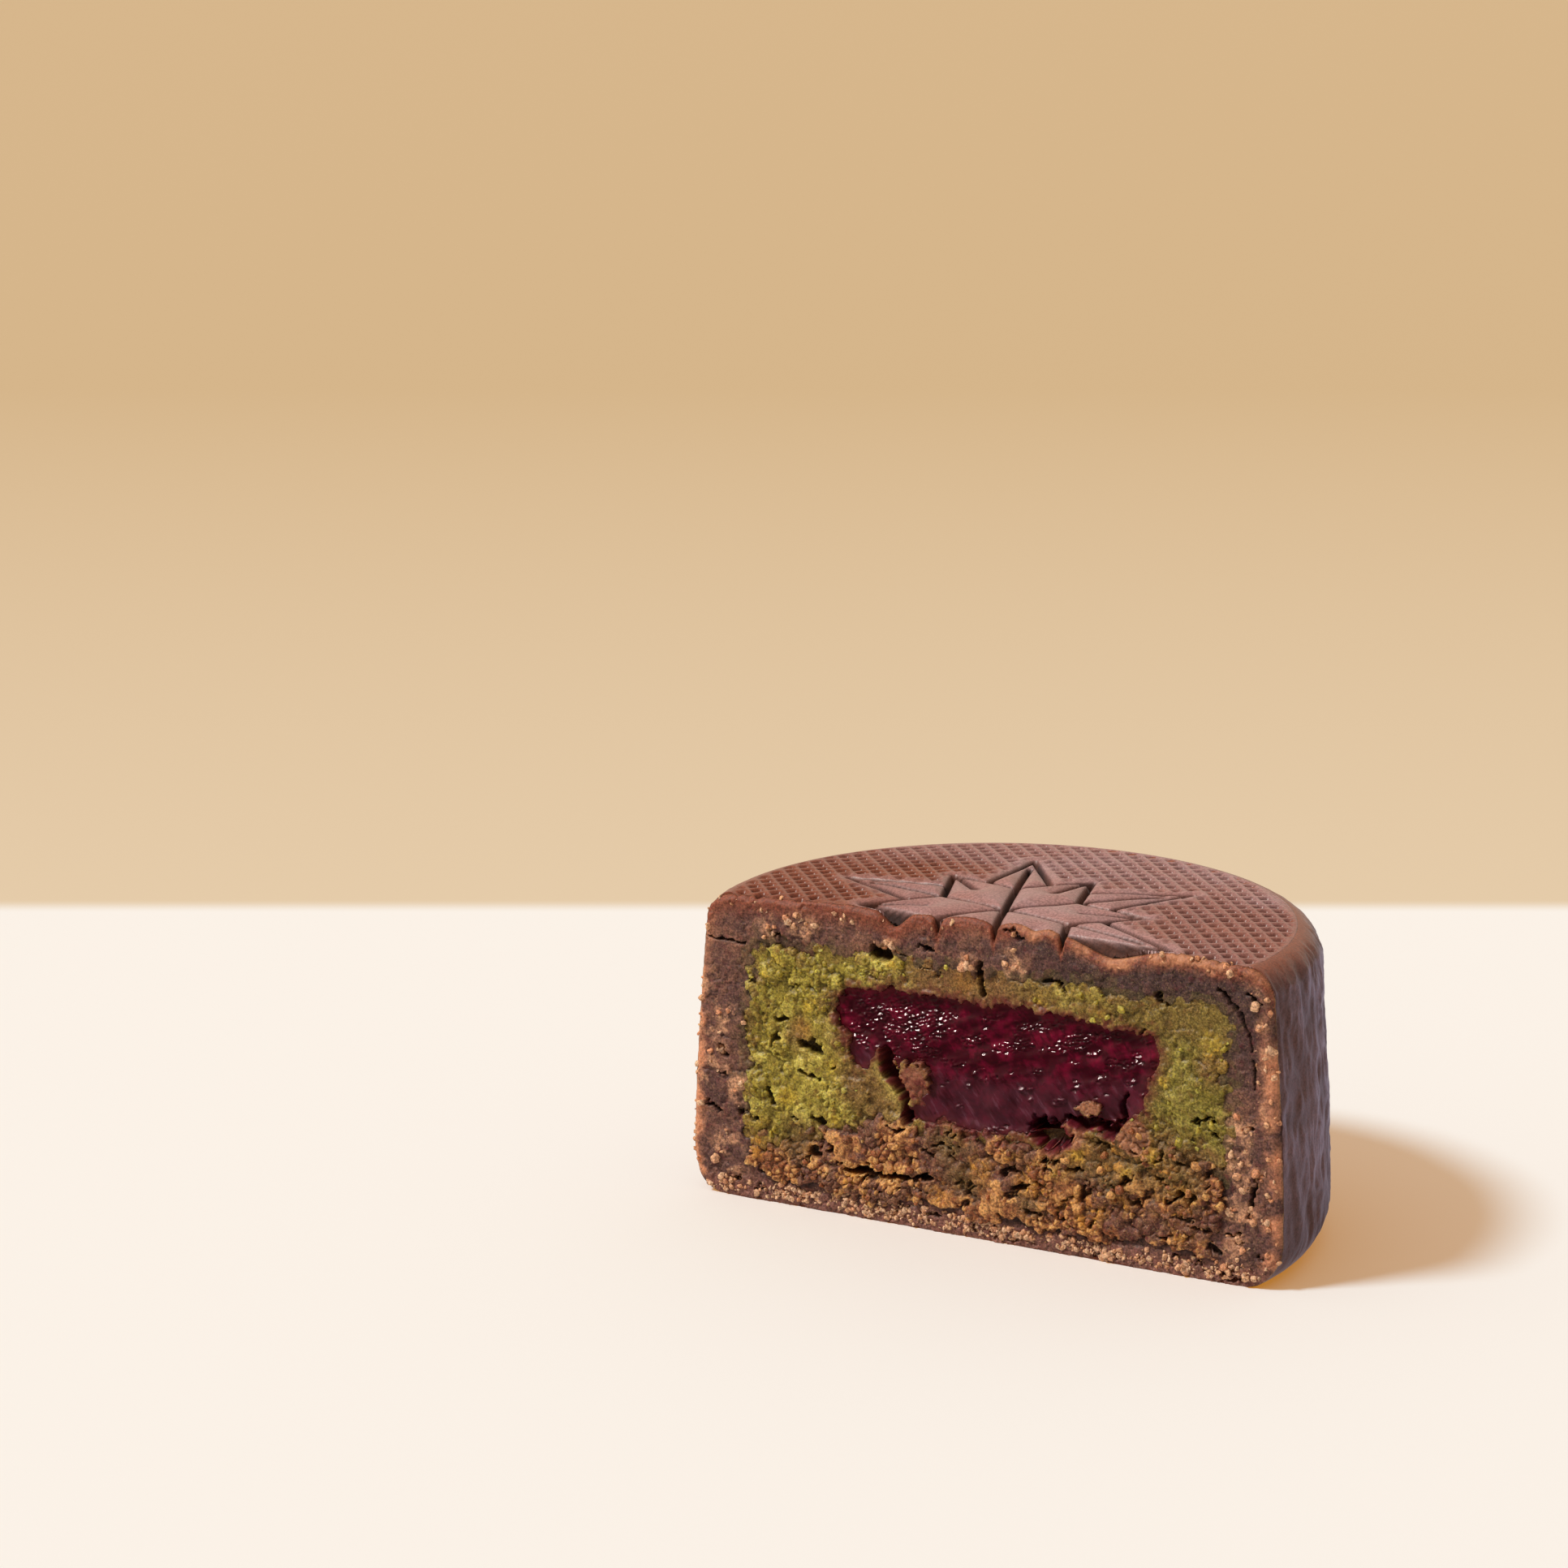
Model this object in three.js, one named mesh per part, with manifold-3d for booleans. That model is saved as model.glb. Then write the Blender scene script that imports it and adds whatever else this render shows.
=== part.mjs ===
// A mooncake cut a little past its middle, lying on its base: a dark cocoa crust pressed in a patterned
// mould, pistachio paste, browned crumb under it and a core of berry jam. Millimetres, +Z up.
// The origin is on the base, on the axis of the round cake. The cut faces -Y.
import * as THREE from "three";
import { mergeVertices } from "three/addons/utils/BufferGeometryUtils.js";
import Module from "manifold-3d";

const wasm = await Module();
wasm.setup();

// The cake as it leaves the mould
const radius = 30; // at its widest, low on the wall
const height = 29.2; // of the shoulder, where the top face meets the wall
const crown = 0.7; // rise of the top face towards the middle
const wallDraft = 1.35; // how much narrower the shoulder is than the foot
const shoulderRound = 3.0;
const footRoundWide = 3.3;
const footRoundHigh = 4.2;
const wallWave = 0.2; // unevenness of the baked wall
const waveSpacing = 6;
const roundSteps = 72; // facets round the cake
const cutBehind = 5.1; // the knife passes this far in front of the axis

// Pressed check pattern on the top face
const checkPitch = 1.5;
const checkTurn = THREE.MathUtils.degToRad(40);
const checkDepth = 0.6;
const checkSunk = 0.15; // the ridges lie this far under the plain rim
const checkRadius = 26.4;

// Pressed flower of straight lines in the middle of the top face
const petalCount = 6;
const petalTurn = THREE.MathUtils.degToRad(17);
const petalShoulder = 7.2; // where two inner petals meet
const innerTip = 13;
const outerTip = 18.5;
const ribShort = 3; // the outer ribs stop this far before the tip
const lineWidth = 1.1;
const lineDepth = 1.0;
const plainMargin = 0.9; // plain dough round each petal

// The fillings
const gap = 0.3; // between one layer and the next
const fillingRadius = 24.4;
const fillingBottom = 2.3;
const fillingTop = 25.2;
const fillingRound = 2.6;
const fillingSteps = 36;
const crumbTopLine = [[-32, 5.6], [-22, 6], [-15, 7.4], [-11, 9.6], [5, 9.2], [10, 10.8], [15, 12.6], [20, 12.2], [32, 9.5]];
const corePlace = new THREE.Vector2(1.3, -2);
const coreSteps = 32;
const coreCurve = new THREE.SplineCurve(
  [[0, 10.2], [4.5, 10.5], [9.4, 12.6], [12.8, 16], [16, 18.9], [14.6, 22], [7, 22.5], [0, 22.2]]
    .map(([r, z]) => new THREE.Vector2(r, z)),
);
const corePoints = 14;

const sliver = 0.02; // faces finer than this are merged with their neighbours

// The broken face that the knife leaves
const cutGrid = 1.45;
const cragSpacing = 3.4; // of the large crags; the small ones are half of it
const cragCrust = 0.4;
const cragPaste = 0.65;
const cragCrumb = 0.9;
const cragJam = 0.4;
const jamSunk = 0.4;
// Holes torn in the cut face: centre, half length, half width, depth, turn from level in degrees
const holes = [
  { x: -8.6, z: 13.6, long: 3.3, wide: 0.75, deep: 2.2, turn: -62 },
  { x: 7.4, z: 10.9, long: 2.0, wide: 1.5, deep: 2.6, turn: 10 },
  { x: 13.6, z: 13.6, long: 2.2, wide: 0.9, deep: 1.9, turn: 50 },
  { x: -8, z: 4.8, long: 4.2, wide: 0.75, deep: 1.7, turn: 0 },
  { x: -9.8, z: 25.5, long: 1.3, wide: 1.0, deep: 1.5, turn: 0 },
  { x: 24.5, z: 3.2, long: 2.0, wide: 0.7, deep: 1.2, turn: 12 },
];

// ---- tools -------------------------------------------------------------------------------------

// A closed manifold-3d solid of a three.js geometry.
function solidOf(geometry) {
  const bare = geometry.clone();
  bare.deleteAttribute("normal");
  bare.deleteAttribute("uv");
  const merged = mergeVertices(bare, 1e-4);
  return new wasm.Manifold(
    new wasm.Mesh({
      numProp: 3,
      vertProperties: merged.getAttribute("position").array,
      triVerts: new Uint32Array(merged.index.array),
    }),
  );
}

// The three.js geometry of a manifold-3d solid.
function geometryOf(solid) {
  const { vertProperties, triVerts } = solid.getMesh();
  const geometry = new THREE.BufferGeometry();
  geometry.setAttribute("position", new THREE.BufferAttribute(vertProperties, 3));
  geometry.setIndex(new THREE.BufferAttribute(triVerts, 1));
  return geometry;
}

// Smooth repeatable noise, about -1 to 1.
function latticeValue(i, j, seed) {
  const s = Math.sin(i * 127.1 + j * 311.7 + seed * 74.7) * 43758.5453;
  return 2 * (s - Math.floor(s)) - 1;
}

function noise(x, y, seed) {
  const [i, j] = [Math.floor(x), Math.floor(y)];
  const [u, v] = [THREE.MathUtils.smoothstep(x - i, 0, 1), THREE.MathUtils.smoothstep(y - j, 0, 1)];
  const low = THREE.MathUtils.lerp(latticeValue(i, j, seed), latticeValue(i + 1, j, seed), u);
  const high = THREE.MathUtils.lerp(latticeValue(i, j + 1, seed), latticeValue(i + 1, j + 1, seed), u);
  return THREE.MathUtils.lerp(low, high, v);
}

// Turns a profile of [radius, height] points, from the bottom of the axis to its top, about Z.
function turned(profile, steps) {
  const points = profile.map(([r, z]) => new THREE.Vector2(r, z));
  return new THREE.LatheGeometry(points, steps).rotateX(Math.PI / 2);
}

// A shape of [x, y] points raised along Z from bottom to top.
function raised(points, bottom, top) {
  const shape = new THREE.Shape(points.map(([x, y]) => new THREE.Vector2(x, y)));
  const geometry = new THREE.ExtrudeGeometry(shape, { depth: top - bottom, bevelEnabled: false });
  return geometry.translate(0, 0, bottom);
}

// A quarter of an ellipse, as [radius, height] points from one angle to another.
function corner(centreR, centreZ, wide, high, from, to, steps) {
  return Array.from({ length: steps + 1 }, (_, i) => {
    const angle = THREE.MathUtils.lerp(from, to, i / steps);
    return [centreR + wide * Math.cos(angle), centreZ + high * Math.sin(angle)];
  });
}

function polar(r, angle) {
  return [r * Math.cos(angle), r * Math.sin(angle)];
}

function between([x0, y0], [x1, y1], share) {
  return [THREE.MathUtils.lerp(x0, x1, share), THREE.MathUtils.lerp(y0, y1, share)];
}

// ---- the whole cake ----------------------------------------------------------------------------

const shoulderRadius = radius - wallDraft;

function topHeight(r) {
  return height + crown * Math.max(0, 1 - (r / (shoulderRadius - shoulderRound)) ** 2);
}

function cakeProfile() {
  const foot = corner(radius - footRoundWide, footRoundHigh, footRoundWide, footRoundHigh, -Math.PI / 2, 0, 6);
  const wall = [0.3, 0.6, 0.85].map((share) => [
    radius - wallDraft * share ** 1.5,
    THREE.MathUtils.lerp(footRoundHigh, height - shoulderRound, share),
  ]);
  const shoulder = corner(
    shoulderRadius - shoulderRound, height - shoulderRound, shoulderRound, shoulderRound, 0, Math.PI / 2, 6,
  );
  const face = [0.85, 0.6, 0.3, 0].map((share) => {
    const r = share * (shoulderRadius - shoulderRound);
    return [r, topHeight(r)];
  });
  return [[0, 0], ...foot, ...wall, ...shoulder, ...face];
}

// The cake, with the slow waves of a baked wall; the base stays flat.
function cakeSolid() {
  const geometry = turned(cakeProfile(), roundSteps);
  const place = geometry.getAttribute("position");
  for (let i = 0; i < place.count; i++) {
    const [x, y, z] = [place.getX(i), place.getY(i), place.getZ(i)];
    const r = Math.hypot(x, y);
    const share = THREE.MathUtils.smoothstep(r, fillingRadius, radius) * THREE.MathUtils.smoothstep(z, 0, footRoundHigh);
    const rise = noise(x / waveSpacing + 50, y / waveSpacing + z / (1.5 * waveSpacing), 3);
    const wave = 1 - (share * wallWave * (1 + rise)) / radius;
    place.setXY(i, x * wave, y * wave);
  }
  return solidOf(geometry);
}

// ---- the mould's patterns ----------------------------------------------------------------------

// Square pits side by side, as one cutter whose underside has a pyramid for each pit.
function checkCutter() {
  const cells = Math.ceil((2 * checkRadius) / checkPitch);
  const start = (-cells / 2) * checkPitch;
  const positions = [];
  const index = [];
  const place = (u, v, dz) => {
    const [x, y] = [u * Math.cos(checkTurn) - v * Math.sin(checkTurn), u * Math.sin(checkTurn) + v * Math.cos(checkTurn)];
    positions.push(x, y, topHeight(Math.hypot(x, y)) - checkSunk + dz);
    return positions.length / 3 - 1;
  };
  const ridge = [];
  const lid = [];
  for (let j = 0; j <= cells; j++)
    for (let i = 0; i <= cells; i++) {
      ridge.push(place(start + i * checkPitch, start + j * checkPitch, 0));
      lid.push(place(start + i * checkPitch, start + j * checkPitch, 3));
    }
  const at = (i, j) => j * (cells + 1) + i;
  const quad = (a, b, c, d) => index.push(a, b, c, a, c, d);
  for (let j = 0; j < cells; j++)
    for (let i = 0; i < cells; i++) {
      const ring = [at(i, j), at(i + 1, j), at(i + 1, j + 1), at(i, j + 1)];
      const pit = place(start + (i + 0.5) * checkPitch, start + (j + 0.5) * checkPitch, -checkDepth);
      ring.forEach((a, k) => index.push(ridge[ring[(k + 1) % 4]], ridge[a], pit));
      quad(...ring.map((a) => lid[a]));
    }
  for (let k = 0; k < cells; k++)
    for (const [a, b] of [
      [at(k, 0), at(k + 1, 0)],
      [at(cells, k), at(cells, k + 1)],
      [at(k + 1, cells), at(k, cells)],
      [at(0, k + 1), at(0, k)],
    ])
      quad(ridge[a], ridge[b], lid[b], lid[a]);
  const geometry = new THREE.BufferGeometry();
  geometry.setAttribute("position", new THREE.Float32BufferAttribute(positions, 3));
  geometry.setIndex(index);
  return solidOf(geometry);
}

// The corners of each petal of the flower, inner ones first.
function petals() {
  const half = Math.PI / petalCount;
  const made = [];
  for (let k = 0; k < petalCount; k++) {
    const angle = petalTurn + 2 * k * half;
    const tip = polar(innerTip, angle);
    const left = polar(petalShoulder, angle + half);
    const right = polar(petalShoulder, angle - half);
    made.push({ outline: [[0, 0], right, tip, left], rib: [polar(petalShoulder, angle), tip] });
    const nextTip = polar(innerTip, angle + 2 * half);
    made.push({
      outline: [left, between(left, tip, 0.45), polar(outerTip, angle + half), between(left, nextTip, 0.45)],
      rib: [left, polar(outerTip - ribShort, angle + half)],
    });
  }
  return made;
}

// A straight groove with sloping sides from a to b, in the top face.
function groove(a, b) {
  const length = Math.hypot(b[0] - a[0], b[1] - a[1]) + lineWidth * 0.6;
  const [wide, narrow, top] = [lineWidth / 2 + 0.25, lineWidth / 4, height + crown + 1];
  const section = [[-wide, top], [-narrow, height - lineDepth], [narrow, height - lineDepth], [wide, top]];
  const geometry = raised(section, -length / 2, length / 2).rotateX(Math.PI / 2).rotateZ(Math.PI / 2);
  geometry.rotateZ(Math.atan2(b[1] - a[1], b[0] - a[0]));
  return solidOf(geometry.translate((a[0] + b[0]) / 2, (a[1] + b[1]) / 2, 0));
}

function flowerCutter() {
  const lines = [];
  for (const { outline, rib } of petals()) {
    outline.forEach((p, i) => lines.push([p, outline[(i + 1) % outline.length]]));
    lines.push(rib);
  }
  const seen = new Set();
  const kept = lines.filter(([a, b]) => {
    const key = [a, b].map((p) => p.map((v) => v.toFixed(2)).join()).sort().join(" ");
    return !seen.has(key) && seen.add(key) && Math.max(a[1], b[1]) > -cutBehind - 1;
  });
  return wasm.Manifold.union(kept.map(([a, b]) => groove(a, b)));
}

// The part of the top face that the checks leave plain: every petal, a little enlarged.
function plainArea() {
  const grown = petals().map(({ outline }) => {
    const middle = outline.reduce(([x, y], [px, py]) => [x + px / 4, y + py / 4], [0, 0]);
    return outline.map(([x, y]) => {
      const [dx, dy] = [x - middle[0], y - middle[1]];
      const scale = 1 + plainMargin / Math.hypot(dx, dy);
      return [middle[0] + dx * scale, middle[1] + dy * scale];
    });
  });
  return wasm.Manifold.union(grown.map((outline) => solidOf(raised(outline, height - 5, height + 5))));
}

function patternCutter() {
  const disc = solidOf(new THREE.CylinderGeometry(checkRadius, checkRadius, 20, roundSteps).rotateX(Math.PI / 2))
    .translate(0, 0, height);
  return checkCutter().intersect(disc).subtract(plainArea());
}

// ---- the fillings ------------------------------------------------------------------------------

// All that the crust wraps, grown outwards by a margin.
function fillingSolid(grow) {
  const [r, low, high, round] = [fillingRadius + grow, fillingBottom - grow, fillingTop + grow, fillingRound + grow];
  const profile = [
    [0, low],
    ...corner(r - round, low + round, round, round, -Math.PI / 2, 0, 3),
    ...corner(r - round, high - round, round, round, 0, Math.PI / 2, 3),
    [0, high],
  ];
  return solidOf(turned(profile, fillingSteps));
}

// The core's profile from the bottom of its axis to the top, grown outwards by a margin.
function coreLine(grow) {
  return Array.from({ length: corePoints }, (_, i) => {
    const share = i / (corePoints - 1);
    const point = coreCurve.getPoint(share);
    const along = coreCurve.getTangent(share);
    return [share === 0 || share === 1 ? 0 : point.x + grow * along.y, point.y - grow * along.x];
  });
}

function coreSolid(grow) {
  return solidOf(turned(coreLine(grow), coreSteps)).translate(corePlace.x, corePlace.y, 0);
}

// Everything under the crumb's top line, lifted by a margin.
function underCrumbLine(lift) {
  const outline = [[-32, -2], [32, -2], ...crumbTopLine.map(([x, z]) => [x, z + lift]).reverse()];
  return solidOf(raised(outline, -40, 40).rotateX(Math.PI / 2));
}

function crumbTop(x) {
  const next = crumbTopLine.findIndex(([px]) => px >= x);
  const [[x0, z0], [x1, z1]] = [crumbTopLine[Math.max(0, next - 1)], crumbTopLine[Math.max(1, next)]];
  return THREE.MathUtils.mapLinear(x, x0, x1, z0, z1);
}

// ---- the knife ---------------------------------------------------------------------------------

const bareCore = coreLine(0);

function insideCore(x, z) {
  const along = Math.hypot(x - corePlace.x, cutBehind + corePlace.y);
  return bareCore.slice(1).some(([r1, z1], i) => {
    const [r0, z0] = bareCore[i];
    const share = (z - z0) / (z1 - z0);
    return z1 > z0 && share >= 0 && share <= 1 && along < THREE.MathUtils.lerp(r0, r1, share);
  });
}

// How far the broken face lies behind the plane of the cut.
function cragDepth(x, z) {
  const inFilling = Math.abs(x) < 24 && z > fillingBottom && z < fillingTop;
  const jam = insideCore(x, z);
  const amplitude = jam ? cragJam : !inFilling ? cragCrust : z < crumbTop(x) ? cragCrumb : cragPaste;
  const coarse = noise(x / cragSpacing, z / cragSpacing, 11);
  const fine = noise((2 * x) / cragSpacing, (2 * z) / cragSpacing, 12);
  let depth = amplitude * (0.65 * coarse + 0.6 * fine) + (jam ? jamSunk : 0);
  for (const hole of holes) {
    const turn = THREE.MathUtils.degToRad(hole.turn);
    const [dx, dz] = [x - hole.x, z - hole.z];
    const u = (dx * Math.cos(turn) + dz * Math.sin(turn)) / (hole.long + 0.5);
    const v = (dz * Math.cos(turn) - dx * Math.sin(turn)) / (hole.wide + 0.5);
    depth += hole.deep * THREE.MathUtils.smoothstep(1 - Math.hypot(u, v), 0, 0.7);
  }
  return depth;
}

function knifeSolid() {
  const [wide, thick, high] = [2 * radius + 4, 40, height + 4];
  const geometry = new THREE.BoxGeometry(wide, thick, high, Math.round(wide / cutGrid), 1, Math.round(high / cutGrid));
  geometry.translate(0, -thick / 2 - cutBehind, high / 2 - 1.6);
  const place = geometry.getAttribute("position");
  for (let i = 0; i < place.count; i++)
    if (place.getY(i) > -cutBehind - 1) place.setY(i, -cutBehind + cragDepth(place.getX(i), place.getZ(i)));
  return solidOf(geometry);
}

// ---- the pieces --------------------------------------------------------------------------------

const knife = knifeSolid();
const belowLine = underCrumbLine(0);
const filling = fillingSolid(0);
const coreRoom = coreSolid(gap);

const pieces = {
  crust: {
    solid: cakeSolid().subtract(fillingSolid(gap)).subtract(patternCutter()).subtract(flowerCutter()).subtract(knife),
    look: { color: "#6f4338", roughness: 0.7, metalness: 0 },
  },
  pistachio_paste: {
    solid: filling.subtract(underCrumbLine(gap)).subtract(coreRoom).subtract(knife),
    look: { color: "#8d8438", roughness: 0.8, metalness: 0 },
  },
  browned_crumb: {
    solid: filling.intersect(belowLine).subtract(coreRoom).subtract(knife),
    look: { color: "#80552b", roughness: 0.85, metalness: 0 },
  },
  jam_core: {
    solid: coreSolid(0).subtract(knife),
    look: { color: "#5a0a24", roughness: 0.2, metalness: 0 },
  },
};

const mooncake = new THREE.Group();
for (const [name, { solid, look }] of Object.entries(pieces)) {
  const mesh = new THREE.Mesh(geometryOf(solid.simplify(sliver)), new THREE.MeshStandardMaterial(look));
  mesh.name = name;
  mooncake.add(mesh);
}

export default mooncake;
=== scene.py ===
# A mooncake cut a little past its middle: cocoa crust, pistachio paste, browned crumb and berry jam.
# Sizes are millimetres, turned to metres where a mesh is made. The cut faces -Y.
import math

import bmesh
import bpy
import numpy as np
from mathutils import Matrix, Vector


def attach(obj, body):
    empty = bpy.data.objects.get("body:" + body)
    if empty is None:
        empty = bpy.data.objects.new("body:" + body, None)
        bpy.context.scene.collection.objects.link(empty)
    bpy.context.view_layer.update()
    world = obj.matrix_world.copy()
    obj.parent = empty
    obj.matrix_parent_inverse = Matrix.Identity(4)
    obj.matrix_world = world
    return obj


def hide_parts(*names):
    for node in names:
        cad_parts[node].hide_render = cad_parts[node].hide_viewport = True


mm = 0.001
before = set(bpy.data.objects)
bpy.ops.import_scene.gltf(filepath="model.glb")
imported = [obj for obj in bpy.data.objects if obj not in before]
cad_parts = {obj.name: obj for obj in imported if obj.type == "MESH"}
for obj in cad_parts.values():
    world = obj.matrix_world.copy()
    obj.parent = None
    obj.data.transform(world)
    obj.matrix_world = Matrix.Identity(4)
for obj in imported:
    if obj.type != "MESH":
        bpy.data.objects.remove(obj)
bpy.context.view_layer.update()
print("frame loaded:", ", ".join(sorted(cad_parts)))

# the whole cake
cake = {
    "radius": 30.0,
    "height": 29.2,
    "crown": 0.7,  # rise of the top towards its middle
    "wallDraft": 1.35,
    "shoulderRound": 3.0,
    "footWide": 3.3,
    "footHigh": 4.2,
    "cutBehind": 5.1,  # the knife passes this far in front of the axis
    "rollWide": 2.2,  # the top rolls over softly towards the cut
    "rollHigh": 0.55,
}


# small tools

def linear(hexColour):
    parts = [int(hexColour[i:i + 2], 16) / 255 for i in (1, 3, 5)]
    return [c / 12.92 if c <= 0.04045 else ((c + 0.055) / 1.055) ** 2.4 for c in parts] + [1.0]


def addNode(tree, kind, inputs=None, **settings):
    # inputs by name or number: a socket or a node's first output is linked, a hex colour is turned linear,
    # anything else is set as it is
    node = tree.nodes.new(kind)
    for name, value in settings.items():
        setattr(node, name, value)
    for name, value in (inputs or {}).items():
        if isinstance(value, (bpy.types.Node, bpy.types.NodeSocket)):
            tree.links.new(getattr(value, "outputs", [value])[0], node.inputs[name])
            continue
        isColour = isinstance(value, str) and value.startswith("#")
        node.inputs[name].default_value = linear(value) if isColour else value
    return node


def smoothStep(value, low, high):
    share = np.clip((value - low) / (high - low), 0, 1)
    return share * share * (3 - 2 * share)


def noiseField(u, v, seed):
    # smooth noise from -1 to 1, one lump per unit
    table = np.random.default_rng(seed).random((256, 256)) * 2 - 1
    i, j = np.floor(u).astype(int), np.floor(v).astype(int)
    fu, fv = smoothStep(u - i, 0, 1), smoothStep(v - j, 0, 1)
    i0, i1, j0, j1 = i % 256, (i + 1) % 256, j % 256, (j + 1) % 256
    low = table[i0, j0] * (1 - fu) + table[i1, j0] * fu
    high = table[i0, j1] * (1 - fu) + table[i1, j1] * fu
    return low * (1 - fv) + high * fv


def fractal(u, v, spacing, seed, octaves=4, keep=0.5):
    total, weight = 0, 0
    for k in range(octaves):
        scale = 2 ** k / spacing
        total = total + keep ** k * noiseField(u * scale + 17 * k, v * scale + 31 * k, seed + k)
        weight += keep ** k
    return total / weight


def nearestSites(x, z, spacing, seed):
    # scattered sites, one per spacing: the nearest one's place, two numbers of its own, and how deep
    # inside its cell each point lies
    table = np.random.default_rng(seed).random((64, 64, 4))
    u, v = x / spacing, z / spacing
    i0, j0 = np.floor(u).astype(int), np.floor(v).astype(int)
    first, second = np.full(u.shape, 9.0), np.full(u.shape, 9.0)
    best = np.zeros(u.shape + (4,))
    for a in (-1, 0, 1):
        for b in (-1, 0, 1):
            site = table[(i0 + a) % 64, (j0 + b) % 64]
            su = i0 + a + 0.5 + 0.9 * (site[..., 0] - 0.5)
            sv = j0 + b + 0.5 + 0.9 * (site[..., 1] - 0.5)
            away = np.hypot(u - su, v - sv)
            nearer = away < first
            second = np.where(nearer, first, np.minimum(second, away))
            first = np.where(nearer, away, first)
            found = np.stack([su * spacing, sv * spacing, site[..., 2], site[..., 3]], axis=-1)
            best = np.where(nearer[..., None], found, best)
    return best[..., 0], best[..., 1], best[..., 2], best[..., 3], second - first


def turned(x, z, angle):
    # the same places measured along and across a direction
    c, s = math.cos(angle), math.sin(angle)
    return x * c + z * s, z * c - x * s


def alongSegment(x, y, a, b):
    # distance from the line between two points, and how far along it the nearest place is
    run = np.subtract(b, a)
    share = np.clip(((x - a[0]) * run[0] + (y - a[1]) * run[1]) / (run @ run), 0, 1)
    return np.hypot(x - a[0] - share * run[0], y - a[1] - share * run[1]), share


def makeMesh(name, points, faces, shares=None):
    # points in mm, faces as arrays of corner indices, shares as one number for each point
    mesh = bpy.data.meshes.new(name)
    counts = np.concatenate([np.full(len(f), f.shape[1]) for f in faces])
    corners = np.concatenate([f.ravel() for f in faces])
    mesh.vertices.add(len(points))
    mesh.vertices.foreach_set("co", (np.asarray(points, float) * mm).ravel())
    mesh.loops.add(len(corners))
    mesh.loops.foreach_set("vertex_index", corners.astype(np.int32))
    mesh.polygons.add(len(counts))
    mesh.polygons.foreach_set("loop_start", (np.cumsum(counts) - counts).astype(np.int32))
    mesh.polygons.foreach_set("use_smooth", np.ones(len(counts), bool))
    mesh.update(calc_edges=True)
    mesh.validate()
    for key, values in (shares or {}).items():
        layer = mesh.attributes.new(key, "FLOAT", "POINT")
        layer.data.foreach_set("value", np.asarray(values, np.float32))
    return mesh


def cellQuads(cells, wide):
    # the grid's points that some cells use, and each cell as four of those
    rows, columns = np.nonzero(cells)
    corner = rows * wide + columns
    quads = np.stack([corner, corner + 1, corner + wide + 1, corner + wide], axis=1)
    used, where = np.unique(quads, return_inverse=True)
    return used, where.reshape(-1, 4)


def weld(mesh, distance=0.01):
    form = bmesh.new()
    form.from_mesh(mesh)
    bmesh.ops.remove_doubles(form, verts=form.verts, dist=distance * mm)
    bmesh.ops.dissolve_degenerate(form, edges=form.edges, dist=0.0005 * mm)
    bmesh.ops.holes_fill(form, edges=[edge for edge in form.edges if edge.is_boundary], sides=0)
    form.to_mesh(mesh)
    form.free()


def addObject(name, data):
    item = bpy.data.objects.new(name, data)
    bpy.context.scene.collection.objects.link(item)
    return item


def addPiece(name, mesh, slot, node):
    piece = addObject(name, mesh)
    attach(piece, "root")
    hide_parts(node)


# camera

camera = {
    "azimuth": 28.59,
    "elevation": 13.81,
    "distance": 400.2,
    "aside": -19.92,  # how far the camera's axis passes to the right of the origin
    "lift": 40.21,
    "lens": 100.0,
    "sensor": 36.0,
    "clip": (0.01, 20.0),  # metres
}


def makeCamera():
    turn, tilt = math.radians(camera["azimuth"]), math.radians(camera["elevation"])
    back = Vector((math.sin(turn) * math.cos(tilt), -math.cos(turn) * math.cos(tilt), math.sin(tilt)))
    right = Vector((math.cos(turn), math.sin(turn), 0))
    up = back.cross(right)
    place = (right * camera["aside"] + up * camera["lift"] + back * camera["distance"]) * mm
    data = bpy.data.cameras.new("camera")
    data.lens = camera["lens"]
    data.sensor_width = camera["sensor"]
    data.clip_start, data.clip_end = camera["clip"]
    item = addObject("camera", data)
    item.matrix_world = Matrix.Translation(place) @ Matrix((right, up, back)).transposed().to_4x4()
    bpy.context.scene.camera = item


makeCamera()


# the pressed flower of straight lines

flower = {
    "petals": 6,
    "turn": 17,
    "shoulder": 7.2,
    "innerTip": 13.0,
    "outerTip": 18.5,
    "ribShort": 3.0,
    "lineWidth": 0.7,
    "lineDepth": 1.0,
    "puff": 0.85,  # the dough swells between the lines
    "plainMargin": 1.1,
    "plainLow": 0.5,  # and lies lower round them
}


def petalOutlines():
    half = math.pi / flower["petals"]
    outlines, ribs = [], []
    for k in range(flower["petals"]):
        angle = math.radians(flower["turn"]) + 2 * k * half
        polar = lambda r, a: np.array([r * math.cos(a), r * math.sin(a)])
        tip, nextTip = polar(flower["innerTip"], angle), polar(flower["innerTip"], angle + 2 * half)
        left, right = polar(flower["shoulder"], angle + half), polar(flower["shoulder"], angle - half)
        outer = polar(flower["outerTip"], angle + half)
        outlines.append([np.zeros(2), right, tip, left])
        outlines.append([left, left * 0.55 + tip * 0.45, outer, left * 0.55 + nextTip * 0.45])
        ribs.append((polar(flower["shoulder"], angle), tip))
        ribs.append((left, polar(flower["outerTip"] - flower["ribShort"], angle + half)))
    return outlines, ribs


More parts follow.
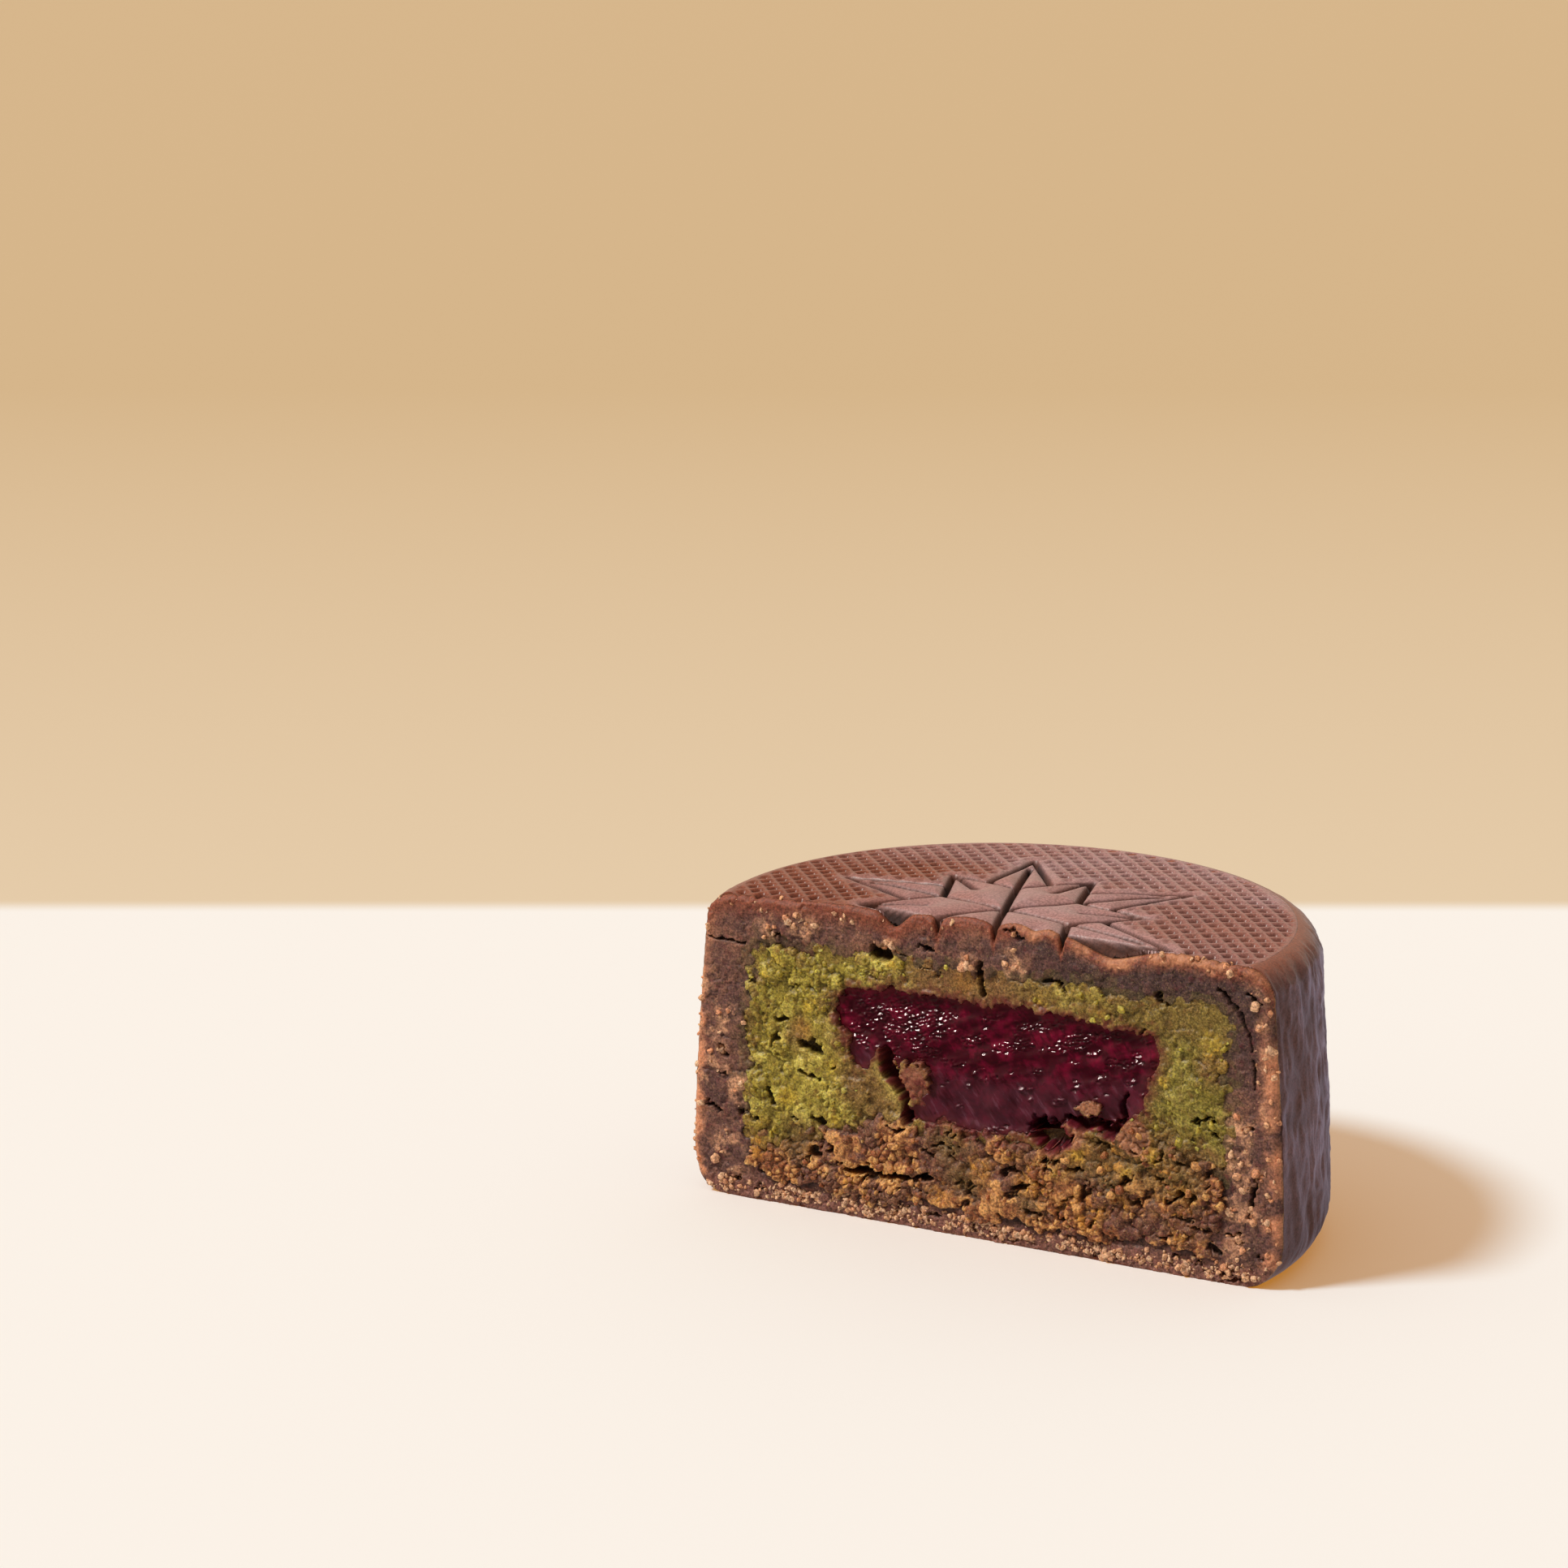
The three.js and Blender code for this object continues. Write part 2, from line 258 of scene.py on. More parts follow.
def flowerFields(x, y):
    # distance to the nearest line, and how plain the dough is round it
    outlines, ribs = petalOutlines()
    lines = ribs + [(o[i], o[(i + 1) % 4]) for o in outlines for i in range(4)]
    near = np.min([alongSegment(x, y, a, b)[0] for a, b in lines], axis=0)
    inside = np.zeros(np.shape(x), bool)
    for o in outlines:
        sides = [(o[(i + 1) % 4][0] - o[i][0]) * (y - o[i][1])
                 - (o[(i + 1) % 4][1] - o[i][1]) * (x - o[i][0]) > 0 for i in range(4)]
        inside |= np.all(sides, axis=0)
    border = np.where(inside, 0, near)
    return near, 1 - smoothStep(border, 0.3, flower["plainMargin"] + 0.9)


# form of the cake

def wallRadius(z):
    # outer radius at each height, with the rounded foot and shoulder
    foot, high = cake["footHigh"], cake["height"] - cake["shoulderRound"]
    share = np.clip((z - foot) / (high - foot), 0, 1)
    r = cake["radius"] - cake["wallDraft"] * share ** 1.5
    low = np.clip((foot - z) / foot, 0, 1)
    top = np.clip((z - high) / cake["shoulderRound"], 0, 1)
    r = r - cake["footWide"] * (1 - np.sqrt(1 - low ** 2))
    return r - cake["shoulderRound"] * (1 - np.sqrt(1 - top ** 2))


rimRadius = cake["radius"] - cake["wallDraft"] - cake["shoulderRound"]


def topHeight(x, y):
    r = np.hypot(x, y)
    near, plain = flowerFields(x, y)
    dome = cake["height"] + cake["crown"] * np.clip(1 - (r / rimRadius) ** 2, 0, 1)
    groove = flower["lineDepth"] * (1 - smoothStep(near, 0, 0.55 * flower["lineWidth"]))
    puff = (flower["puff"] * (1 - np.exp(-near / 0.75)) - flower["plainLow"]) * plain
    slow = 0.12 * fractal(x, y, 7, 61) + 0.05 * fractal(x, y, 2.5, 65)
    past = np.clip(r - rimRadius, 0, None)
    drop = cake["shoulderRound"] - np.sqrt(np.clip(cake["shoulderRound"] ** 2 - past ** 2, 0, None))
    toCut = 1 - np.clip((y + cake["cutBehind"]) / cake["rollWide"], 0, 1)
    roll = cake["rollHigh"] * (1 - np.sqrt(1 - toCut ** 2)) * (1 - 0.6 * smoothStep(x, -2, 8))
    return dome - drop - groove - roll + (puff + slow) * smoothStep(rimRadius - r, 0, 2)


# upright wrinkles that the baked wall is drawn into, each by its depth
wrinkles = {
    "folds": 0.26,
    "creases": 0.38,
    "pits": 0.16,
    "swell": 0.2,
}


def wallRelief(angle, z):
    along = angle * cake["radius"]
    drift = 3.2 * fractal(along, z, 11, 71)
    folds = wrinkles["folds"] * fractal(along + drift, z / 2.0, 3.0, 72)
    creases = wrinkles["creases"] * np.abs(fractal(along + 1.8 * drift, z / 2.2, 2.0, 76, 3))
    pits = wrinkles["pits"] * np.abs(fractal(along, z / 1.4, 0.9, 78, 2))
    pits = pits * (0.5 + 0.5 * smoothStep(z, 14, 24))
    swell = wrinkles["swell"] * fractal(along, z, 5, 79)
    return (folds - creases - pits + swell) * smoothStep(z, 0.2, 3)


# the broken face of the cut, as fields on one grid

cutFace = {
    "grid": 0.1,
    "reach": 29.6,
    "lumpCell": 0.8,  # whole lumps of this size belong to one layer or the other
    "jamCell": 0.42,
    "edgeWander": (0.8, 0.35),  # in long bends and in short ones
    "jamWander": 0.35,  # as a share of that
    "fillRagged": 1.1,
    "crumbRagged": 2.0,
    "jamRagged": 0.5,
    "wholeRim": 400,  # a layer's rim has more points than this, a speck's fewer
    "speckDeep": 0.6,
    "speckNarrow": 0.7,
    "dieOut": 0.2,  # a layer's first ring lies at least this far behind its rim
    "deepest": 4.0,
    "proudest": 0.95,
    "fillRight": 24.0,
    "fillLeft": -23.6,
    "fillLow": 2.2,
    "fillTop": 25.0,
    "fillRound": 2.4,
    "softEdge": 0.7,  # the cut rounds over into the skin
    "crumbLine": [
        (-32, 5.6), (-22, 6), (-15, 7.6), (-11, 9.8), (5, 9.6), (10, 11), (15, 12.8), (20, 11.4), (32, 9),
    ],
    "jamHeights": [10.2, 11, 12, 13.5, 15, 16.5, 18, 20, 21.3, 22.2],
    "jamLeft": [-1.5, -4.2, -5.5, -6.6, -8, -10.5, -13.4, -14.4, -13.4, -9],
    "jamRight": [3, 6, 9, 15.2, 16.2, 16.4, 16.8, 17.2, 16.6, 10],
}

# torn holes and cracks: how deep each goes, and points (x, z, half width) along it
tears = [
    (2.6, [(-9.6, 16.2, 0.5), (-9.2, 15.1, 0.85), (-8.6, 14.1, 0.8), (-7.9, 13.2, 0.6), (-7.4, 12.4, 0.5),
           (-7.6, 11.5, 0.28), (-7.2, 10.6, 0.42), (-7.0, 10.0, 0.3)]),
    (3.2, [(5.9, 11.2, 1.0), (7.6, 11.0, 1.5), (8.7, 10.7, 0.8)]),
    (2.0, [(8.8, 13.0, 0.3), (10.5, 12.4, 0.7), (11.8, 12.9, 0.5), (13.3, 12.2, 0.6)]),
    (1.3, [(13.6, 12.6, 0.5), (14.3, 13.7, 0.36), (14.0, 14.8, 0.3), (14.7, 16.0, 0.16)]),
    (2.0, [(-13.2, 4.5, 0.25), (-10.9, 4.9, 0.6), (-9.3, 4.6, 0.3), (-6.5, 4.8, 0.25), (-4.6, 5.2, 0.45)]),
    (1.7, [(-10.4, 25.5, 0.7), (-9.3, 25.6, 0.75)]),
    (1.3, [(-0.1, 26.0, 0.3), (0.1, 24.6, 0.4), (0.4, 22.9, 0.2)]),
    (0.6, [(-28.2, 24.9, 0.1), (-26.5, 24.7, 0.14), (-23.8, 24.5, 0.1)]),
    (0.9, [(22.9, 26.8, 0.2), (24.9, 25.2, 0.24), (26.2, 23.3, 0.14), (26.5, 21.6, 0.1)]),
    (0.6, [(26.6, 20.6, 0.16), (26.7, 18.4, 0.12)]),
    (1.1, [(-18.0, 15.7, 0.5), (-16.4, 15.6, 0.7)]),
    (0.9, [(-18.3, 13.2, 0.16), (-16.2, 12.7, 0.22)]),
    (0.7, [(-21.9, 11.2, 0.16), (-21.0, 9.8, 0.25)]),
    (0.9, [(-17.0, 8.6, 0.2), (-15.9, 8.5, 0.5)]),
    (1.0, [(-16.9, 5.6, 0.4), (-16.1, 5.5, 0.6)]),
    (0.7, [(-20.4, 17.9, 0.35), (-19.6, 18.0, 0.25)]),
    (0.8, [(-26.6, 14.2, 0.35), (-26.1, 13.5, 0.35)]),
    (0.8, [(15.5, 11.1, 0.25), (15.8, 11.1, 0.2)]),
    (0.9, [(24.6, 4.5, 0.2), (25.8, 4.6, 0.2)]),
    (0.8, [(22.9, 3.3, 0.3), (23.9, 2.9, 0.3)]),
    (0.7, [(6.2, 25.2, 0.14), (7.6, 25.4, 0.2), (8.2, 25.0, 0.15)]),
    (0.8, [(27.0, 9.6, 0.2), (26.6, 6.4, 0.25)]),
]


def tearReach(x, z, way):
    # 0 in the middle of a tear, 1 at its edge
    reach = np.full(np.shape(x), 9.0)
    for (x0, z0, w0), (x1, z1, w1) in zip(way, way[1:]):
        away, share = alongSegment(x, z, (x0, z0), (x1, z1))
        reach = np.minimum(reach, away / (w0 + (w1 - w0) * share))
    return reach


def layerDepths(x, z):
    # how deep a place lies in the filling, in the crumb and in the jam, with wandering edges
    far, near = cutFace["edgeWander"]
    wx, wz = (
        place + far * fractal(x, z, 4.5, seed) + near * fractal(x, z, 1.6, seed + 2)
        for place, seed in ((x, 1), (z, 9))
    )
    lowX, highX = cutFace["fillLeft"], cutFace["fillRight"]
    lowZ, highZ, bend = cutFace["fillLow"], cutFace["fillTop"], cutFace["fillRound"]
    outX = np.abs(wx - (lowX + highX) / 2) - ((highX - lowX) / 2 - bend)
    outZ = np.abs(wz - (lowZ + highZ) / 2) - ((highZ - lowZ) / 2 - bend)
    outside = np.hypot(np.maximum(outX, 0), np.maximum(outZ, 0)) + np.minimum(np.maximum(outX, outZ), 0)
    crumbIn = np.interp(wx, *zip(*cutFace["crumbLine"])) - wz
    heights = cutFace["jamHeights"]
    calmer = cutFace["jamWander"]
    wx, wz = x + calmer * (wx - x), z + calmer * (wz - z)
    jamX = np.minimum(
        wx - np.interp(wz, heights, cutFace["jamLeft"]), np.interp(wz, heights, cutFace["jamRight"]) - wx,
    )
    return bend - outside, crumbIn, np.minimum(jamX, np.minimum(wz - heights[0], heights[-1] - wz))


def cutFields():
    step = cutFace["grid"]
    xs = np.arange(-cutFace["reach"], cutFace["reach"] + step / 2, step)
    zs = np.arange(0, cake["height"] + cake["crown"] + 0.6, step)
    x, z = np.meshgrid(xs, zs)
    f = {"x": x, "z": z}
    for key, seed in (("warpX", 201), ("warpZ", 209)):
        f[key] = 0.55 * fractal(x, z, 2.6, seed) + 0.2 * fractal(x, z, 0.7, seed + 4)
    f["fineX"], f["fineZ"] = fractal(x, z, 0.5, 221, 3), fractal(x, z, 0.5, 227, 3)
    half = np.sqrt(wallRadius(np.clip(z, 0, cake["height"])) ** 2 - cake["cutBehind"] ** 2)
    f["top"] = topHeight(xs, np.full(len(xs), 0.8 * cutFace["softEdge"] - cake["cutBehind"]))
    f["skinIn"] = np.minimum.reduce([half - np.abs(x), f["top"][None, :] - z, z + 0.6])
    wx, wz = x + 0.5 * f["warpX"], z + 0.5 * f["warpZ"]
    siteX, siteZ, own, other, f["seam"] = nearestSites(wx, wz, cutFace["lumpCell"], 51)
    f["fillIn"], f["crumbIn"] = layerDepths(siteX, siteZ)[:2]
    f["fillIn"] = f["fillIn"] + cutFace["fillRagged"] * (own - 0.5)
    f["crumbIn"] = f["crumbIn"] + cutFace["crumbRagged"] * (other - 0.5)
    siteX, siteZ, own = nearestSites(wx, wz, cutFace["jamCell"], 55)[:3]
    f["jamIn"] = layerDepths(siteX, siteZ)[2] + cutFace["jamRagged"] * (own - 0.5)
    f["softCrumb"], f["softJam"] = layerDepths(x, z)[1:]
    return f


def softened(field, reach):
    # the mean round each place, reach in mm
    n = max(1, round(reach / cutFace["grid"]))
    span = 2 * n + 1
    for axis in (0, 1, 0, 1):
        width = field.shape[axis]
        margins = [(n + 1, n) if a == axis else (0, 0) for a in (0, 1)]
        total = np.cumsum(np.pad(field, margins, mode="edge"), axis=axis)
        field = (total.take(range(span, span + width), axis) - total.take(range(width), axis)) / span
    return field


# what each layer's lumps are like: tiers of (number, smallest, largest, height share), and its small holes
lumps = {
    "dough": {
        "tiers": [(60, 0.9, 1.8, 0.1), (500, 0.35, 0.9, 0.24), (2600, 0.14, 0.35, 0.45)],
        "holes": 18,
        "seed": 101,
    },
    "paste": {
        "tiers": [(80, 0.9, 1.8, 0.22), (340, 0.35, 0.8, 0.42), (1300, 0.16, 0.36, 0.5)],
        "holes": 12,
        "seed": 201,
    },
    "crumb": {
        "tiers": [(60, 0.9, 1.8, 0.5), (1300, 0.42, 0.88, 0.85), (2600, 0.18, 0.42, 0.66)],
        "holes": 60,
        "seed": 301,
    },
    "base": {
        "tiers": [(200, 0.3, 0.6, 0.45), (1200, 0.13, 0.3, 0.6)],
        "holes": 24,
        "seed": 401,
    },
}


def window(f, j, i, reach):
    # the part of the grid round one place
    rows, columns = f["x"].shape
    return (
        slice(max(0, j - reach), min(rows, j + reach + 1)),
        slice(max(0, i - reach), min(columns, i + reach + 1)),
    )


def awayFrom(f, part, place, warp, ragged):
    # how far the points of a window lie from a place, bent so that outlines wander
    return [
        f[axis][part] - f[axis][place] + warp * (f[bend][part] - f[bend][place]) + ragged * f[fine][part]
        for axis, bend, fine in (("x", "warpX", "fineX"), ("z", "warpZ", "fineZ"))
    ]


def heapLumps(f, rise, tone, where, clump, spec):
    # half-buried lumps, each on what lies under it, with a tone of its own; they crowd where clump is high
    rng = np.random.default_rng(spec["seed"])
    step = cutFace["grid"]
    rows, columns = np.nonzero(where)
    tiers = spec["tiers"]
    freshness = (0.9, 0.5, 0.4)[-len(tiers):]  # how much of its own tone a lump of each tier keeps
    for fresh, (number, smallest, largest, high) in zip(freshness, tiers):
        steep = np.abs(rise - softened(rise, 0.4))
        weights = (0.06 + clump * (0.6 + 1.2 * steep))[rows, columns]
        picks = rng.choice(len(rows), number, p=weights / weights.sum())
        sizes = smallest + (largest - smallest) * rng.random(number) ** 1.6
        squash = rng.uniform(0.7, 1.35, number)
        turns = rng.uniform(0, math.pi, number)
        tones = 0.5 + (0.6 if fresh > 0.8 else 1) * (rng.random(number) - 0.5)
        for pick, size, narrow, turn, ownTone in zip(picks, sizes, squash, turns, tones):
            j, i = rows[pick], columns[pick]
            part = window(f, j, i, int(1.5 * size / step) + 2)
            u, v = turned(*awayFrom(f, part, (j, i), 0.6 * size, 0.2 + 0.3 * size), turn)
            cap = np.sqrt(np.clip(1 - (u / (size * narrow)) ** 2 - (v * narrow / size) ** 2, 0, 1))
            flat = 0.5 * smoothStep(size, 0.6, 1.3)
            cap = cap + flat * (np.minimum(1.35 * cap, 0.75 + 0.25 * cap) - cap)
            level = 0.6 * rise[j, i] + high * size * f["lively"][j, i] * (cap - 0.3)
            wins = (cap > 0) & (level > rise[part]) & where[part]
            rise[part] = np.where(wins, level, rise[part])
            tone[part] = np.where(wins, ownTone * fresh + (1 - fresh) * tone[part], tone[part])
    for pick in rng.choice(len(rows), spec["holes"]):
        # a small hole, longer than it is high
        j, i = rows[pick], columns[pick]
        size, turn = rng.uniform(0.2, 0.6), rng.normal(-0.1, 0.5)
        part = window(f, j, i, int(2.4 * size / step) + 3)
        u, v = turned(*awayFrom(f, part, (j, i), 0.9, 0.6), turn)
        u, v = u / (2 * size), v / (0.55 * size)
        hole = smoothStep(1 - np.hypot(u, v), 0, 0.45) * (0.5 + 0.8 * rng.random())
        f["holes"][part] = np.maximum(f["holes"][part], hole * where[part])


# bands of small wet facets in the torn jam, rising to the right: middle x, z, length and half height
gloss = {
    "rise": 18,
    "slope": 0.82,  # of the facets that throw the window's light at whoever looks at the cut
    "uneven": 0.2,
    "facet": 0.3,
    "sideways": 0.24,
    "stretch": 1.7,  # facets are this much longer than they are high
    "bands": [
        (-11.7, 20.6, 3.0, 0.6), (-6.0, 19.6, 8.6, 1.0), (-5.4, 18.3, 4.4, 0.6), (-5.3, 16.9, 3.0, 0.5),
        (-0.9, 18.6, 3.2, 0.6), (3.3, 18.6, 4.4, 0.65), (8.8, 19.6, 5.4, 0.9), (6.4, 21.0, 5.0, 0.5),
        (1.0, 20.9, 2.6, 0.4), (-2.2, 16.0, 1.8, 0.3), (12.9, 18.4, 1.2, 0.5), (7.9, 14.2, 1.6, 0.35),
        (1.8, 10.7, 3.4, 0.3), (-11.9, 16.9, 1.6, 0.5), (12.8, 20.9, 2.4, 0.4), (-11.6, 18.6, 1.4, 0.5),
        (-8.6, 21.2, 2.4, 0.4), (15.4, 19.4, 1.2, 0.7), (-3.4, 21.6, 2.0, 0.3), (-9.4, 17.6, 1.0, 0.4),
        (-12.6, 21.4, 2.0, 0.35), (-2.6, 20.6, 2.4, 0.35), (4.0, 20.4, 2.6, 0.35), (10.8, 20.7, 2.8, 0.4),
        (14.4, 18.6, 1.8, 0.6), (14.8, 16.9, 1.6, 0.4), (-12.6, 18.2, 1.4, 0.6), (-10.4, 19.2, 1.6, 0.5),
        (5.6, 16.6, 1.3, 0.3), (-1.2, 14.2, 0.9, 0.25), (-2.0, 12.2, 0.9, 0.25), (-8.2, 20.5, 3.6, 0.5),
        (-10.9, 19.9, 2.2, 0.45), (-9.4, 18.5, 2.0, 0.4), (-6.8, 17.9, 2.0, 0.35), (-3.0, 19.2, 2.4, 0.4),
        (-13.4, 19.4, 1.2, 0.5), (-12.2, 17.4, 1.2, 0.4), (-7.2, 19.0, 4.2, 0.5), (-8.4, 16.6, 1.2, 0.35),
    ],
}


def jamRelief(x, z, share):
    # share is 0 at the bottom of the jam and 1 at its top
    def streaks(degrees, long, short, seed):
        u, v = turned(x, z, math.radians(degrees))
        return fractal(u / long, v / short, 1, seed, 3)

    rise, stretch = math.radians(gloss["rise"]), gloss["stretch"]
    u, v = turned(x, z, rise)
    v = v + 0.2 * fractal(x, z, 2.0, 523, 2)
    siteU, siteV, own, other = nearestSites(u / stretch, v, gloss["facet"], 505)[:4]
    across, upward = turned(u - stretch * siteU, v - siteV, -rise)
    steepness = gloss["slope"] + gloss["uneven"] * (own - 0.5)
    facets = gloss["sideways"] * (other - 0.5) * across - steepness * upward
    ragged = 0.5 * fractal(x, z, 0.7, 527, 2)
    lit = np.zeros(x.shape)
    for cx, cz, length, high in gloss["bands"]:
        du, dv = turned(x - cx, z - cz, rise)
        lit = np.maximum(lit, smoothStep(1 - np.hypot(du / (length / 2), dv / high) + ragged, 0, 0.25))
    upper = smoothStep(share + 0.2 * fractal(x, z, 4, 517), 0.34, 0.56)
    scarce = 0.985 - upper * (0.06 + 0.18 * smoothStep(-x, 1, 5))
    stray = (np.mod(own * 97, 1) > scarce) * 1.0
    folds = 0.5 * streaks(-46, 4.0, 2.6, 511)
    soft = 0.3 * streaks(16, 3.2, 1.1, 501)
    swell = 0.2 * fractal(x, z, 3.6, 515) - 0.35 * smoothStep(share, 0.35, 1.1)
    lit = np.maximum(lit, stray)
    return swell + facets * lit + (1 - 0.8 * lit) * (upper * soft + (1 - upper) * folds)


def ovalReach(f, oval, wander=1):
    # 0 in the middle of an oval, 1 at its edge
    cx, cz, rx, rz = oval
    return np.hypot((f["x"] + wander * f["warpX"] - cx) / rx, (f["z"] + wander * f["warpZ"] - cz) / rz)


# how rough each layer breaks
relief = {
    "pasteRough": 0.1,
    "crumbRough": 0.6,
    "crumbSwell": 1.5,
    "doughRough": 0.05,
    "doughSwell": 0.5,
    "jamSunk": 0.3,
    "speck": 0.07,
    "pasteGap": 0.08,  # between whole lumps
    "crumbGap": 0.18,
}


def shapeCut(f):
    # sorts the cut into its layers and gives each its broken relief
    x, z = f["x"], f["z"]
    jam = f["jamIn"] > 0
    for oval in jamLobes:
        jam |= ovalReach(f, oval) + 0.3 * f["fineX"] < 1
    for oval in islands.values():
        jam &= ovalReach(f, oval) + 0.35 * f["fineX"] > 1
    inFill = f["fillIn"] > 0
    crumb = inFill & ~jam & (f["crumbIn"] > 0)
    paste = inFill & ~jam & ~crumb
    dough = ~inFill & ~jam
    base = dough & (z < 2.0 + f["warpZ"]) & (np.abs(x) < 27)
    slow = 0.26 * fractal(x, z, 7, 21) + 0.2 * fractal(x, z, 2.8, 25)
    f["clump"] = smoothStep(fractal(x, z, 3.4, 27, 3), -0.12, 0.3)
    f["clump"] = f["clump"] * (1 - 0.6 * smoothStep(x, -10, -4) * paste)
    for oval in islands.values():
        f["clump"] = np.maximum(f["clump"], 0.5 - 0.5 * smoothStep(ovalReach(f, oval, 0), 0.9, 1.5))
    crumbly = patches(crumblySpots, 0.8) * smoothStep(fractal(x, z, 1.1, 29, 2), -0.3, 0.2)
    clumps = {"dough": 0.03 + crumbly, "paste": f["clump"], "crumb": 0.4 + f["clump"], "base": 0.5 + 0 * x}
    f["lively"] = 1 + 0.4 * paste * (1 - smoothStep(x, -14, -9)) + 0.25 * paste * smoothStep(x, 8, 14)
    f["lively"] = f["lively"] - 0.22 * crumb * (1 - smoothStep(x, -4, 6))
    rise, tone = 0.6 * slow, np.full(x.shape, 0.5)
    rough = relief["pasteRough"] * fractal(x, z, 1.1, 31)
    rise = np.where(paste, slow + rough, rise)
    rough = relief["crumbRough"] * fractal(x, z / 0.6, 1.6, 35)
    rise = np.where(crumb, relief["crumbSwell"] * slow + rough, rise)
    rough = relief["doughRough"] * fractal(x, z, 0.9, 39)
    rise = np.where(dough, relief["doughSwell"] * slow + rough, rise)
    f["holes"] = np.zeros(x.shape)
    for where, name in ((dough & ~base, "dough"), (paste, "paste"), (crumb, "crumb"), (base, "base")):
        heapLumps(f, rise, tone, where, clumps[name], lumps[name])
    edge = smoothStep(f["seam"], 0.0, 0.35)
    gaps = relief["pasteGap"] * paste + relief["crumbGap"] * crumb
    rise = rise - gaps * (1 - edge) * (0.3 + f["clump"])
    share = (z - cutFace["jamHeights"][0]) / (cutFace["jamHeights"][-1] - cutFace["jamHeights"][0])
    sunk = -0.05 - relief["jamSunk"] * smoothStep(f["softJam"], 0, 1.4)
    rise = np.where(jam, sunk + jamRelief(x, z, share), rise)
    f["ripple"] = smoothStep(share + 0.2 * fractal(x, z, 4, 517), 0.3, 0.6)
    rise += relief["speck"] * fractal(x, z, 0.4, 45, 2) * ~jam
    deep = f["holes"].copy()
    wx, wz = x + 0.6 * f["warpX"] + 0.25 * f["fineX"], z + 0.6 * f["warpZ"] + 0.25 * f["fineZ"]
    f["tearX"], f["tearZ"] = wx, wz
    for deepest, way in tears:
        reach = tearReach(wx, wz, way) + 0.5 * f["fineZ"]
        deep = np.maximum(deep, deepest * (1 - smoothStep(reach, 0.5, 1.1)))
    rise = rise - deep
    f.update(tone=tone, deep=deep, jam=jam, paste=paste, crumb=crumb, dough=dough, crumbly=crumbly)
    inSkin = np.clip(f["skinIn"] / cutFace["softEdge"], 0, 1)
    rounded = cutFace["softEdge"] * (1 - np.sqrt(1 - (1 - inSkin) ** 2)) * smoothStep(z, 1, 3)
    rise = rise * (0.3 + 0.7 * smoothStep(f["skinIn"], 0, 0.5)) - 0.8 * rounded
    f["rise"] = np.clip(rise, -cutFace["deepest"], cutFace["proudest"])


def patches(places, grow):
    # soft edged patches: centre x, z and radius
    x, z = fields["x"] + 1.1 * fields["warpX"], fields["z"] + 1.1 * fields["warpZ"]
    total = np.zeros(x.shape)
    for cx, cz, size in places:
        total = np.maximum(total, 1 - smoothStep(np.hypot(x - cx, z - cz), size - grow, size + grow))
    return total


# where the baked dough has crumbled
crumblySpots = [
    (-18.3, 27.3, 1.3), (-21.6, 26.8, 1.0), (-25.4, 17.2, 1.5), (-26.6, 13.4, 1.6), (-24.8, 10.8, 1.4),
    (-28.0, 20.5, 1.0), (-28.2, 16.0, 1.2), (-28.3, 11.0, 1.0), (-25.4, 4.2, 1.9), (-21.0, 3.8, 1.2),
    (-1.5, 26.0, 1.1), (3.4, 26.0, 1.3), (26.6, 26.4, 0.9), (27.4, 24.0, 0.7),
    (25.4, 13.8, 1.5), (25.6, 10.2, 2.0), (26.0, 6.4, 2.0), (25.4, 2.8, 1.6), (27.9, 16.0, 1.0),
    (27.8, 21.0, 0.9), (-9.0, 26.6, 0.8), (-13.2, 27.4, 0.7),
]

# where jam has run out into the paste, and bits of filling that lie in the jam: centre x, z and half sizes
jamLobes = [(-11.7, 16.2, 1.3, 1.9), (-13.2, 19.6, 1.5, 1.9), (-5.6, 10.9, 1.6, 0.8), (16.6, 19.6, 1.0, 1.9)]
islands = {
    "leftLump": (-6.4, 13.9, 1.4, 1.8),
    "rightBit": (10.8, 14.2, 1.5, 0.75),
    "tower": (9.7, 11.3, 1.2, 1.6),
    "rightLump": (15.6, 12.2, 1.6, 1.5),
}

fields = cutFields()
shapeCut(fields)
print("cut face shaped:", fields["x"].size, "points")


def sampled(field, x, z):
    # the field's value at any place on the cut
    step = cutFace["grid"]
    u = np.clip((x - fields["x"][0, 0]) / step, 0, field.shape[1] - 1.001)
    v = np.clip(z / step, 0, field.shape[0] - 1.001)
    i, j = u.astype(int), v.astype(int)
    fu, fv = u - i, v - j
    low = field[j, i] * (1 - fu) + field[j, i + 1] * fu
    high = field[j + 1, i] * (1 - fu) + field[j + 1, i + 1] * fu
    return low * (1 - fv) + high * fv


# closed solids from a grid's cells

def boundaryLoops(quads):
    # the rims of a sheet, each as its points in order
    ahead = {}
    edges = np.concatenate([quads[:, [k, (k + 1) % 4]] for k in range(4)])
    present = set(map(tuple, edges.tolist()))
    for a, b in edges.tolist():
        if (b, a) not in present:
            ahead.setdefault(a, []).append(b)
    loops = []
    while ahead:
        start = next(iter(ahead))
        loop, here = [], start
        while True:
            loop.append(here)
            onward = ahead[here].pop()
            if not ahead[here]:
                del ahead[here]
            here = onward
            if here == start:
                break
        loops.append(loop)
    return loops


def cleanMask(mask):
    # one cell wide threads and specks go to their surroundings
    for _ in range(3):
        padded = np.pad(mask.astype(int), 1, mode="edge")
        rows, columns = mask.shape
        around = sum(padded[a:a + rows, b:b + columns] for a in (0, 1, 2) for b in (0, 1, 2))
        mask = around >= 5
    return mask


